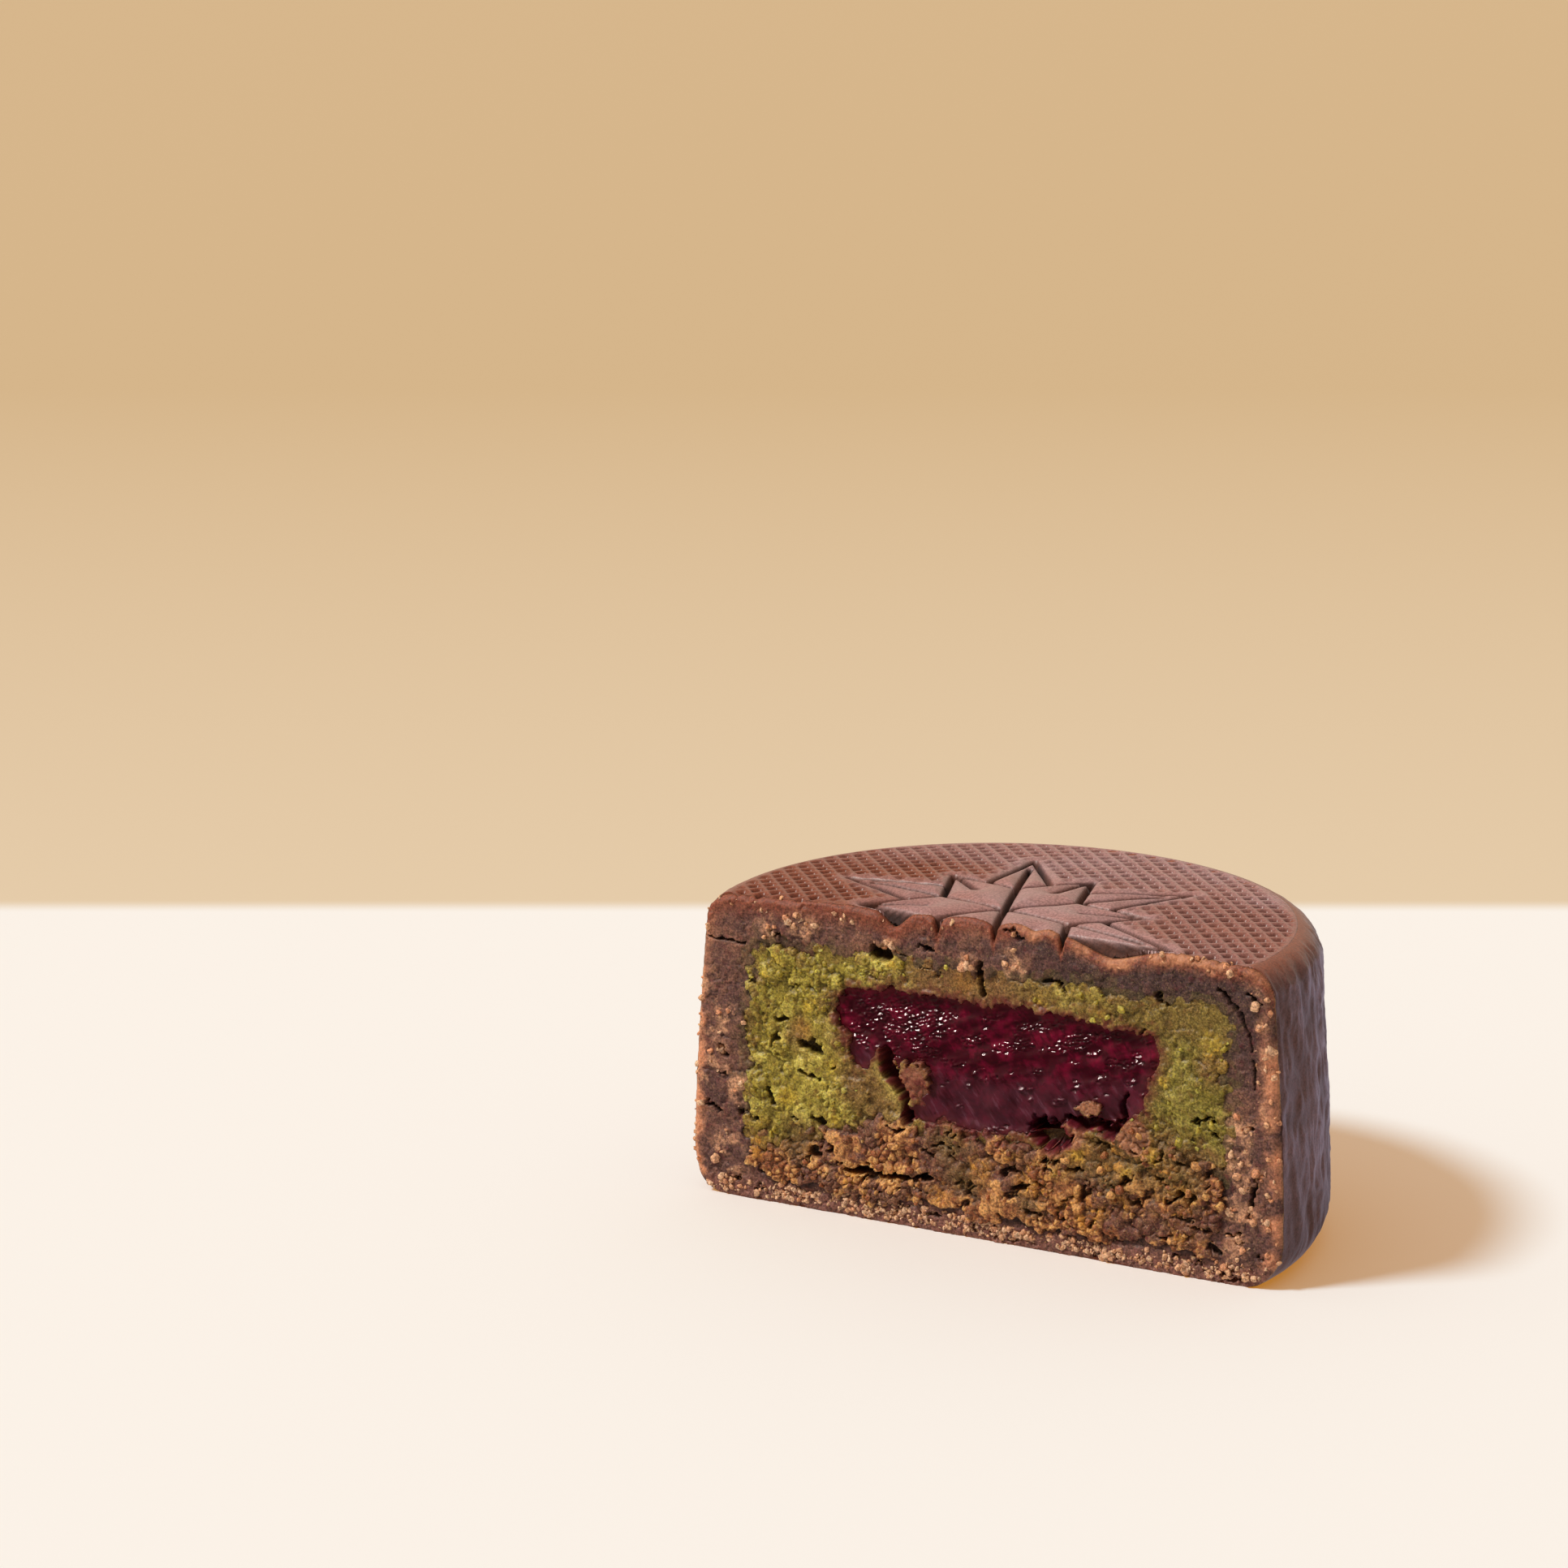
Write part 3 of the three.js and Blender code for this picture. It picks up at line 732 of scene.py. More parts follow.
def closedSolid(name, cells, surface, shares, behind):
    # a sheet on a grid; behind each of its rims the rings that behind gives, and a fan that closes them
    used, quads = cellQuads(cells, surface.shape[1])
    front = surface.reshape(-1, 3)[used]
    verts, sources, sides, fans = [front], [np.arange(len(front))], [quads], []
    count = len(front)
    for loop in boundaryLoops(quads):
        ring = last = np.array(loop)
        for spot in behind(front[ring]):
            here = count + np.arange(len(ring))
            sides.append(np.stack([last, here, np.roll(here, -1), np.roll(last, -1)], axis=1))
            verts.append(spot)
            sources.append(ring)
            count += len(ring)
            last = here
        fans.append(np.stack([np.roll(last, -1), last, np.full(len(ring), count)], axis=1))
        verts.append(spot.mean(0)[None, :])
        sources.append(ring[:1])
        count += 1
    sources = np.concatenate(sources)
    values = {key: field.ravel()[used][sources] for key, field in shares.items()}
    mesh = makeMesh(name, np.concatenate(verts), [np.concatenate(sides), np.concatenate(fans)], values)
    weld(mesh)
    return mesh


def layerMesh(name, cells, shares, centre, backs):
    # backs are (y, share of the width, share of the height) steps behind the cut
    def behind(rim):
        if len(rim) > cutFace["wholeRim"]:
            steps, middle = backs, centre
        else:
            narrow, middle = cutFace["speckNarrow"], rim[:, [0, 2]].mean(0)
            steps = [(rim[:, 1].mean() + cutFace["speckDeep"], narrow, narrow)]
        for y, wideShare, highShare in steps:
            spot = rim.copy()
            spot[:, 1] = np.maximum(y, rim[:, 1] + cutFace["dieOut"]) if y == steps[0][0] else y
            spot[:, 0] = middle[0] + (rim[:, 0] - middle[0]) * wideShare
            spot[:, 2] = middle[1] + (rim[:, 2] - middle[1]) * highShare
            yield spot

    return closedSolid(name, cells, points, shares, behind)


def frontPoints():
    # the grid's points, with the outermost ones moved on to the cake's outline
    x, z = fields["x"], fields["z"]
    near = 0.3 * cutFace["grid"]
    edge = np.repeat(fields["top"][None, :], z.shape[0], axis=0)
    z = np.where(z > edge - near, edge, z)
    radius = wallRadius(np.clip(z, 0, cake["height"]))
    half = np.sqrt(radius ** 2 - cake["cutBehind"] ** 2)
    outer = np.abs(x) > half - near
    x = np.where(outer, np.sign(x) * half, x)
    y = -cake["cutBehind"] - sampled(fields["rise"], x, z)
    x = np.where(outer, np.sign(x) * np.sqrt(radius ** 2 - y ** 2), x)
    return np.stack([x, y, z], axis=2)


def roundBack(radius, levels, narrow=1, high=1):
    # steps at some y behind the cut, as wide as a round of this radius is there
    first = math.sqrt(radius ** 2 - cake["cutBehind"] ** 2)
    return [(y, narrow * math.sqrt(max(0.01, radius ** 2 - y ** 2)) / first, high) for y in levels]


# a cell belongs to a layer by its lower left point
points = frontPoints()
inside = fields["skinIn"] > 0
inCells = inside[:-1, :-1] | inside[1:, :-1] | inside[:-1, 1:] | inside[1:, 1:]
jamCells = cleanMask(fields["jam"][:-1, :-1]) & inCells
crumbCells = cleanMask(fields["crumb"][:-1, :-1]) & inCells & ~jamCells
pasteCells = cleanMask(fields["paste"][:-1, :-1]) & inCells & ~jamCells & ~crumbCells
doughCells = inCells & ~jamCells & ~crumbCells & ~pasteCells


# how strongly each tone and coat lies on the cut
tints = {
    "stain": 0.85,
    "plum": 0.9,
    "brownLow": 0.75,
    "brownByJam": 0.6,
    "brownSpots": 0.7,
    "brownTop": 1.25,
    "brownEdge": 0.5,
    "green": 0.42,
    "greenRight": 0.75,
    "greenEdge": 0.45,
    "yellow": 0.75,
    "amber": 0.8,
    "olive": 0.7,
    "oliveRight": 0.55,
}


def shadeFields():
    # where each tone, stain and coat of the finishes lies on the cut, with painted highlights and shade, as
    # shares from 0 to 1
    f = fields
    x, z = f["x"], f["z"]
    blotch = fractal(x, z, 2.2, 83, 3)
    shares = {}
    grain = f["tone"] + 0.18 * fractal(x, z, 0.5, 81, 2) + 0.25 * blotch
    grain = grain + 0.14 * f["dough"] * smoothStep(-x, 2, 12)
    grain = np.clip(grain - 0.5 * f["dough"] * smoothStep(x, 2, 12) * smoothStep(z, 19, 23), 0, 1)
    # painted highlight and shade: raised crests of the relief are lighter in tone, dips darker
    crest = f["rise"] - softened(f["rise"], 0.6)
    shares["grain"] = np.clip(grain + (0.9 + 0.5 * f["crumb"]) * crest, 0, 1)
    # painted shade: darker in holes and tears, in low places and in dips between lumps
    paintedHollowShade = smoothStep(f["deep"], 0.1, 1.2) + smoothStep(-f["rise"], 0.25, 1.0) * 0.3
    paintedHollowShade = np.clip(paintedHollowShade + 0.6 * smoothStep(-crest, 0.03, 0.3), 0, 1)
    nearSlit, *nearCave = [tearReach(f["tearX"], f["tearZ"], tear[1]) for tear in tears[:4]]
    nearCave = np.minimum.reduce(nearCave)
    nearby = softened(f["jam"] * 1.0, 1.1) + 0.3 * f["fineX"] + 0.2 * f["fineZ"]
    stain = tints["stain"] * smoothStep(nearby, 0.0, 0.6)
    lump = np.zeros(x.shape)
    for oval in islands.values():
        lump = np.maximum(lump, 1 - smoothStep(ovalReach(f, oval), 0.75, 1.05))
    stain = np.maximum(stain * (1 - 0.85 * lump), 0.95 * (1 - smoothStep(nearSlit, 0.9, 1.35)))
    soaked = 1 - smoothStep(ovalReach(f, islands["leftLump"]), 0.9, 1.7)
    stain = np.maximum(stain, soaked * (0.5 + 0.6 * f["fineX"]))
    shares["border"] = 1 - smoothStep(softened(f["jam"] * 1.0, 0.6) + 0.3 * f["fineX"], 0.5, 0.95)
    shares["stain"] = np.maximum(stain, 1 - smoothStep(nearCave, 0.9, 1.5))
    shares["paintedHollowShade"] = paintedHollowShade * (1 - 0.5 * shares["stain"])
    under = f["top"][None, :] - z
    rimWide = np.interp(x, [-28, -4, 4, 27], [2.8, 2.4, 1.5, 1.7])
    shares["rim"] = 1 - smoothStep(under + 1.2 * f["warpZ"], 0.4, rimWide)
    lip = 1 - smoothStep(under + 0.8 * f["warpZ"] + 0.4 * f["fineX"], 0.4, 1.2)
    shares["lip"] = np.clip(lip * smoothStep(x, 1, 6) * (0.5 + 1.4 * fractal(x, z, 1.6, 89, 3)), 0, 1)
    shares["lump"] = lump
    shares["wet"] = f["ripple"]
    # the cut's outer edge: the crust's own orange rim, made stronger on the lit left by a painted highlight
    wide = np.interp(x, [-28, 27], [1.3, 2.1])
    edge = 1 - smoothStep(f["skinIn"] + 1.1 * f["warpX"] + 0.5 * f["fineZ"], 0.1, wide)
    broken = 0.42 + 0.4 * (x < 0) + 1.7 * fractal(x, z, 1.5, 87, 3) + 0.5 * f["tone"]
    edge = edge * broken * smoothStep(z + 2 * f["warpZ"], 1.4, 2.8)
    shares["edge"] = np.clip(edge, 0, 1) * (0.35 + 0.65 * (z < 22 + f["warpX"]))
    shares["base"] = 1 - smoothStep(z + f["warpZ"], 1.2, 2.4)
    firm = np.maximum(shares["lip"], np.maximum(0.4 * shares["rim"], 0.8 * shares["edge"]))
    shares["firm"] = np.maximum(shares["stain"], np.maximum(firm, 0.6 * lump))
    shares["crumbly"] = np.clip(f["crumbly"] * (1.7 * f["tone"] - 0.35), 0, 1)
    plum = fractal(x, z, 2.2, 85, 3) + 0.3 * (0.5 - f["tone"])
    shares["plum"] = smoothStep(plum, -0.06, 0.1) * tints["plum"]
    turning = smoothStep(f["softCrumb"] + 1.6 * blotch, -3.0, 1.2)
    nearJam = 1 - smoothStep(-f["softJam"] + blotch, 0.3, 2.6)
    above = smoothStep(z, 20.3, 22.6) * smoothStep(x, -11, -5) * (1 - smoothStep(x, 2, 9) * 0.6) * 0.66
    outer = tints["brownEdge"] * (1 - smoothStep(f["fillIn"], 0, 1.1))
    shares["brown"] = np.maximum.reduce([
        turning * tints["brownLow"], nearJam * tints["brownByJam"],
        patches(spots["brown"], 1.6) * tints["brownSpots"], tints["brownTop"] * above, outer,
    ])
    shares["green"] = (1 - turning) * tints["green"] + 0.1 * smoothStep(blotch, 0.05, 0.4)
    right = smoothStep(x, 5, 10) * (1 - smoothStep(x, 19, 23)) * smoothStep(z + 2 * blotch, 6.5, 9.5)
    shares["green"] = np.maximum(shares["green"], tints["greenRight"] * right)
    shares["greenEdge"] = (1 - smoothStep(-f["fillIn"], 0, 1.4)) * tints["greenEdge"] * (z > 8)
    livelier = 0.25 + 0.75 * smoothStep(f["tone"], 0.35, 0.65)
    shares["yellow"] = tints["yellow"] * patches(spots["yellow"], 0.5) * livelier
    livelier = 0.15 + 0.85 * smoothStep(f["tone"], 0.4, 0.65)
    shares["amber"] = tints["amber"] * patches(spots["amber"], 0.9) * livelier
    shares["olive"] = tints["olive"] * patches(spots["olive"], 1.4)
    toRight = tints["oliveRight"] * smoothStep(x, 10, 16)
    shares["olive"] = np.maximum(shares["olive"], toRight * f["paste"])
    # the dough just under the top follows the pits that the mould pressed
    shares["pressed"] = pressedShare(x, -cake["cutBehind"] - f["rise"]) * smoothStep(-under, -1.6, 0)
    return shares


# patches of other tones in the filling: centre x, z and radius
spots = {
    "yellow": [
        (-20.6, 23.5, 0.5), (-21.8, 21.8, 0.3), (-17.1, 19.4, 0.8), (-19.7, 10.4, 0.9), (-15.0, 14.3, 0.5),
        (-14.5, 8.9, 0.6), (22.7, 21.8, 0.9), (-17.4, 25.2, 0.6), (-12.5, 25.8, 0.4), (18.5, 17.8, 0.4),
        (-22.0, 7.9, 0.6), (-8.6, 24.9, 0.4), (6.0, 23.6, 0.5), (12.4, 23.2, 0.4), (10.4, 9.6, 0.7),
        (17.6, 10.6, 0.7), (15.0, 9.2, 0.5), (8.4, 7.6, 0.6),
    ],
    "amber": [
        (-17.7, 17.1, 0.8), (-1.4, 24.3, 1.1), (8.6, 5.5, 1.2), (10.6, 9.8, 1.1), (19.0, 9.4, 1.1),
        (16.2, 11.6, 1.0), (-4.0, 3.6, 0.9), (23.4, 20.6, 1.0), (20.6, 4.0, 0.9), (3.6, 8.6, 0.9),
        (-23.6, 8.2, 0.5), (-22.4, 5.4, 1.3), (6.0, 6.6, 1.6), (13.4, 10.0, 1.2), (-12.4, 3.6, 1.0),
        (0.4, 6.8, 1.0), (14.6, 5.6, 1.0), (19.6, 6.6, 1.8), (11.4, 4.6, 1.4),
    ],
    "brown": [
        (-3.6, 24.2, 2.6), (1.6, 24.4, 2.4), (-11.5, 13.0, 2.6), (-13.6, 17.0, 1.4), (-9.4, 10.6, 2.6),
        (18.4, 12.0, 1.6), (22.4, 19.6, 1.0), (-18.2, 16.4, 1.4),
    ],
    "olive": [
        (-2.6, 8.9, 2.0), (16.3, 10.2, 1.4), (20.6, 8.6, 2.0), (-1.0, 5.4, 1.6), (13.6, 7.6, 1.2),
        (5.4, 4.4, 1.0), (-18.5, 6.4, 1.5),
    ],
}


# finishes

colours = {
    "skin": "#82432f",
    "skinHollowShade": "#44211b",
    "skinLineShade": "#2a1310",
    "skinRidge": "#9a5c46",
    "skinPaleSheen": "#7c727b",
    "wall": "#634346",
    "lip": "#bd7f5c",
    "doughDark": "#4a3130",
    "doughMid": "#62403b",
    "doughLight": "#825746",
    "orangeEdge": "#d08b66",
    "base": "#80544a",
    "tan": "#cf9a76",
    "crumbPale": "#dcae8c",
    "pasteDark": "#776722",
    "pasteMid": "#968630",
    "pasteLight": "#c8ba5a",
    "yellow": "#d6b63a",
    "amber": "#c08630",
    "olive": "#5f561e",
    "pasteBrown": "#7a5236",
    "lump": "#a57052",
    "plum": "#694138",
    "crumbOlive": "#6b5528",
    "crumbYellow": "#b5912e",
    "crumbDark": "#653a26",
    "crumbMid": "#8f5332",
    "crumbLight": "#d29a5d",
    "jam": "#3a0012",
    "jamThin": "#900a38",
    "jamFoldSheen": "#4c1c2c",
    "jamBorder": "#5a1a1e",
    "jamSheen": "#6a3a4c",
    "jamGloss": "#fff0f2",
    "stain": "#6a1624",
    "paintedGlint": "#dab474",
}

# grain and clouds in the finishes: size in mm, detail, roughness, times longer than high, slope in degrees
grains = {
    "crumbGrain": (0.2, 2.0, 0.6, 1, 0),  # the real grain is finer, 0.05 mm, and wouldn't show
    "glintGrain": (0.12, 1.0, 0.6, 1, 0),
    "jamCloud": (1.6, 3.0, 0.6, 1, 0),
    "jamFolds": (0.55, 3.0, 0.6, 4, -50),
    "jamRipple": (0.3, 2.0, 0.45, 3, gloss["rise"]),
    "skinGrain": (0.22, 3.0, 0.6, 1, 0),
    "skinCloud": (6.0, 4.0, 0.6, 1, 0),
}


def newMaterial(name):
    material = bpy.data.materials.new(name)
    material.use_nodes = True
    material.node_tree.nodes.clear()
    return material, material.node_tree


def crumbRecipe(ramp, coats, rough, glow, bump, glintAmount=0.5):
    # crumbs pressed together: dull, a little see-through, with sugar-fine grain and pale painted glints that
    # firm places lose, and painted shade in their hollows
    return {
        "ramp": ramp,
        "ranges": {
            "dull": ("firm", 0, 1, 0.5, 0.8),
            "bright": ("firm", 0, 1, 1.6, 1.2),
            "speckle": ("crumbGrain", 0.34, 0.68, "dull", "bright"),
            "dry": ("firm", 0, 1, glintAmount, 0.04),
            # painted glints: pale specks where the fine noise peaks, fewer where the surface is firm
            "paintedGlint": ("glintGrain", 0.6, 0.74, 0, "dry"),
            # painted shade: darker where the share of hollows is high
            "shade": ("paintedHollowShade", 0, 1, 1, 0.3),
        },
        "coats": [*coats.items(), (1, "speckle", "MULTIPLY"), ("paintedGlint", "paintedGlint"), (1, "shade", "MULTIPLY")],
        "carries": ("grain", "paintedHollowShade", "firm", *coats),
        "bump": ("crumbGrain", 0.9, bump),
        "shader": {
            "Roughness": rough, "Subsurface Weight": glow, "Subsurface Radius": (1.0, 0.7, 0.3),
            "Subsurface Scale": 0.8 * mm,
        },
    }


# each finish: ranges as (what, from low, from high, to low, to high), products of two, coats as (how much,
# colour, way of mixing where it isn't plain), bump as (what, strength, depth in mm), the shader's own values;
# a name stands for a grain, a range or a product, or else for a share that the mesh carries
recipes = {
    # cocoa dough brushed with egg, pressed in a mould and baked: satin and redder; painted shade darkens its
    # hollows, grooves, creases and the foot of the wall, and a painted sheen lightens its paler parts
    "baked_cocoa_skin": {
        "ranges": {
            "cloud": ("skinCloud", 0.35, 0.7, 0, 1),
            "most": ("wall", 0, 1, 0.4, 0.16),
            "speckle": ("skinGrain", 0.34, 0.68, 0.68, 1.32),
            "satin": ("paintedLineShade", 0, 1, 0.34, 0.8),
        },
        "products": {"worn": ("cloud", "most")},
        "base": "skin",
        "coats": [
            ("wall", "wall"), ("paleAndPaintedSheen", "skinPaleSheen", "SCREEN"), ("paintedHollowShade", "skinHollowShade"), ("paintedLineShade", "skinLineShade"),
            ("worn", "skinRidge"), (1, "speckle", "MULTIPLY"),
        ],
        "bump": ("skinGrain", 0.8, 0.04),
        "shader": {"Roughness": "satin", "Sheen Weight": 0.06, "Sheen Roughness": 0.4},
    },
    # torn where it was cut: matt and open, with paler breaks where it has dried out, and a pale outer edge
    # that is partly a painted highlight
    "baked_cocoa_dough": crumbRecipe(("doughDark", "doughMid", "doughLight"), {
        "greenEdge": "olive", "base": "base", "edge": "orangeEdge", "rim": "skin", "lip": "lip",
        "crumbly": "tan", "stain": "stain",
    }, 0.6, 0.25, 0.05, 0.25),
    # nuts ground with sugar and oil: moist, lit from within, green and yellow lumps in olive
    "ground_pistachio_paste": crumbRecipe(("pasteDark", "pasteMid", "pasteLight"), {
        "olive": "olive", "brown": "pasteBrown", "amber": "amber", "yellow": "yellow", "lump": "lump",
        "stain": "stain",
    }, 0.48, 0.7, 0.05),
    # flour, butter and sugar toasted brown: dry lumps with golden crests and dark gaps, the crests partly a
    # painted highlight and the gaps partly painted shade
    "browned_butter_crumb": crumbRecipe(("crumbDark", "crumbMid", "crumbLight"), {
        "plum": "plum", "green": "crumbOlive", "olive": "crumbOlive", "amber": "amber", "lump": "lump",
        "yellow": "crumbYellow", "stain": "stain",
    }, 0.6, 0.5, 0.06),
    # bits broken off the crust: dry, pale, the lightest grains on the cut
    "toasted_crumbs": crumbRecipe(("orangeEdge", "tan", "crumbPale"), {}, 0.6, 0.2, 0.05),
    # clear dark red under a wet gloss, duller and drawn into folds lower down, with a painted purple-grey
    # sheen and pale painted sheen streaks there
    "boiled_berry_jam": {
        "ranges": {
            "cloud": ("jamCloud", 0.45, 0.75, 0, 0.68),
            "dry": ("wet", 0, 1, 0.6, 0),
            "lines": ("jamFolds", 0.54, 0.64, 0, 0.8),
            "sheenStreaks": ("jamFolds", 0.44, 0.34, 0, "dry"),
            "strong": ("wet", 0, 1, 0.25, 1),
            "dull": ("wet", 0, 1, 0.36, 0.14),
        },
        "products": {"thin": ("border", 0.6)},
        "base": "jam",
        "coats": [
            # painted sheen: purple-grey lower down and pale streaks along the folds
            ("cloud", "jamThin"), ("dry", "jamFoldSheen"), ("lines", "jam"), ("sheenStreaks", "jamSheen"),
            ("thin", "jamBorder"),
        ],
        "carries": ("wet", "border"),
        "bump": ("jamRipple", "strong", 0.02),
        "shader": {
            "Roughness": "dull", "Specular Tint": colours["jamGloss"], "Subsurface Weight": 0.25,
            "Subsurface Radius": (1.0, 0.15, 0.2), "Subsurface Scale": 0.6 * mm,
        },
    },
}


def makeFinish(name, recipe):
    material, tree = newMaterial(name)
    place = addNode(tree, "ShaderNodeTexCoord").outputs["Object"]
    made = {}

    def grain(size, detail, rough, stretch, slope):
        where, turn = place, (0, math.radians(-slope), 0)
        if stretch != 1:
            where = addNode(
                tree, "ShaderNodeMapping",
                {"Vector": place, "Rotation": turn, "Scale": (stretch, 1, 1)}, vector_type="TEXTURE",
            )
        return addNode(
            tree, "ShaderNodeTexNoise",
            {"Vector": where, "Scale": 1 / (size * mm), "Detail": detail, "Roughness": rough},
        ).outputs["Fac"]

    def value(key):
        if not isinstance(key, str) or key.startswith("#"):
            return key
        if key in made:
            return made[key]
        if key in grains:
            made[key] = grain(*grains[key])
        elif key in recipe["ranges"]:
            inputs = {n: value(bound) for n, bound in enumerate(recipe["ranges"][key])}
            made[key] = addNode(tree, "ShaderNodeMapRange", inputs)
        elif key in recipe.get("products", {}):
            inputs = {n: value(factor) for n, factor in enumerate(recipe["products"][key])}
            made[key] = addNode(tree, "ShaderNodeMath", inputs, operation="MULTIPLY")
        else:
            made[key] = addNode(tree, "ShaderNodeAttribute", attribute_name=key).outputs["Fac"]
        return made[key]

    if "ramp" in recipe:
        tones = addNode(tree, "ShaderNodeValToRGB", {"Fac": value("grain")})
        tones.color_ramp.elements[0].position = 0.05
        tones.color_ramp.elements[1].position = 0.95
        tones.color_ramp.elements.new(0.5)
        for element, key in zip(tones.color_ramp.elements, recipe["ramp"]):
            element.color = linear(colours[key])
        colour = tones.outputs["Color"]
    else:
        colour = colours[recipe["base"]]
    for amount, over, *how in recipe["coats"]:
        colour = addNode(
            tree, "ShaderNodeMix", {"Factor": value(amount), 6: colour, 7: colours.get(over) or value(over)},
            data_type="RGBA", blend_type=how[0] if how else "MIX",
        ).outputs[2]
    height, strength, deep = recipe["bump"]
    bump = addNode(
        tree, "ShaderNodeBump", {"Height": value(height), "Strength": value(strength), "Distance": deep * mm},
    )
    shader = addNode(
        tree, "ShaderNodeBsdfPrincipled",
        {
            "Base Color": colour, "Normal": bump, "IOR": 1.45,
            **{key: value(setting) for key, setting in recipe["shader"].items()},
        },
    )
    addNode(tree, "ShaderNodeOutputMaterial", {"Surface": shader})
    return material


finishes = {name: makeFinish(name, recipe) for name, recipe in recipes.items()}
print("finishes mixed:", ", ".join(finishes))


# the skin round the side and under the cake: one closed shell, turned about the axis and cut by the knife

skin = {
    "columns": 460,
    "wallStep": 0.4,
    "baseStep": 2.4,
    "footRows": 14,
    "shoulderRows": 18,
    "thick": 0.9,
    # painted shade in the wall's creases and low down on it
    "creaseShade": 0.28,
    "footShade": 0.34,  # painted shade: the wall is darker low down
    "innerColumns": 16,
    "topStart": 26.3,  # the pressed top begins inside this radius
    "topGrid": 0.16,
    "topThick": 1.9,
    "topTaper": 0.97,  # its underside is this much narrower
}

checks = {
    "pitch": 1.5,
    "turn": 40,
    "depth": 0.7,
    "radius": 26.0,
    "ridge": 0.2,  # share of the pitch that stays up between two pits
    # at each x, how far from the cut the pits begin
    "plainBand": [(-28, 0.5), (-19, 0.6), (-12, 1.8), (-4, 2.0), (6, 1.0), (14, 0.4), (27, 0.2)],
}


def profileStations():
    # radius and height from the middle of the base round to the start of the top
    baseEdge = cake["radius"] - cake["footWide"]
    base = [(r, 0.0) for r in np.arange(0, baseEdge, skin["baseStep"])]
    turns = np.linspace(-math.pi / 2, 0, skin["footRows"])
    foot = [(baseEdge + cake["footWide"] * math.cos(a), cake["footHigh"] * (1 + math.sin(a))) for a in turns]
    high = cake["height"] - cake["shoulderRound"]
    upright = np.arange(cake["footHigh"] + skin["wallStep"], high, skin["wallStep"])
    wall = [(float(wallRadius(z)), z) for z in upright]
    last = math.acos((skin["topStart"] - rimRadius - 0.25) / cake["shoulderRound"])
    turns = np.linspace(0, last, skin["shoulderRows"])
    shoulder = [(rimRadius + cake["shoulderRound"] * math.cos(a), high + cake["shoulderRound"] * math.sin(a))
                for a in turns]
    return base + foot + wall + shoulder + [(skin["topStart"] - 1.2, cake["height"] - 0.5)]


def frontOf(x, z):
    # how far in front of the axis the broken edge stands
    return cake["cutBehind"] + sampled(fields["rise"], x, z)


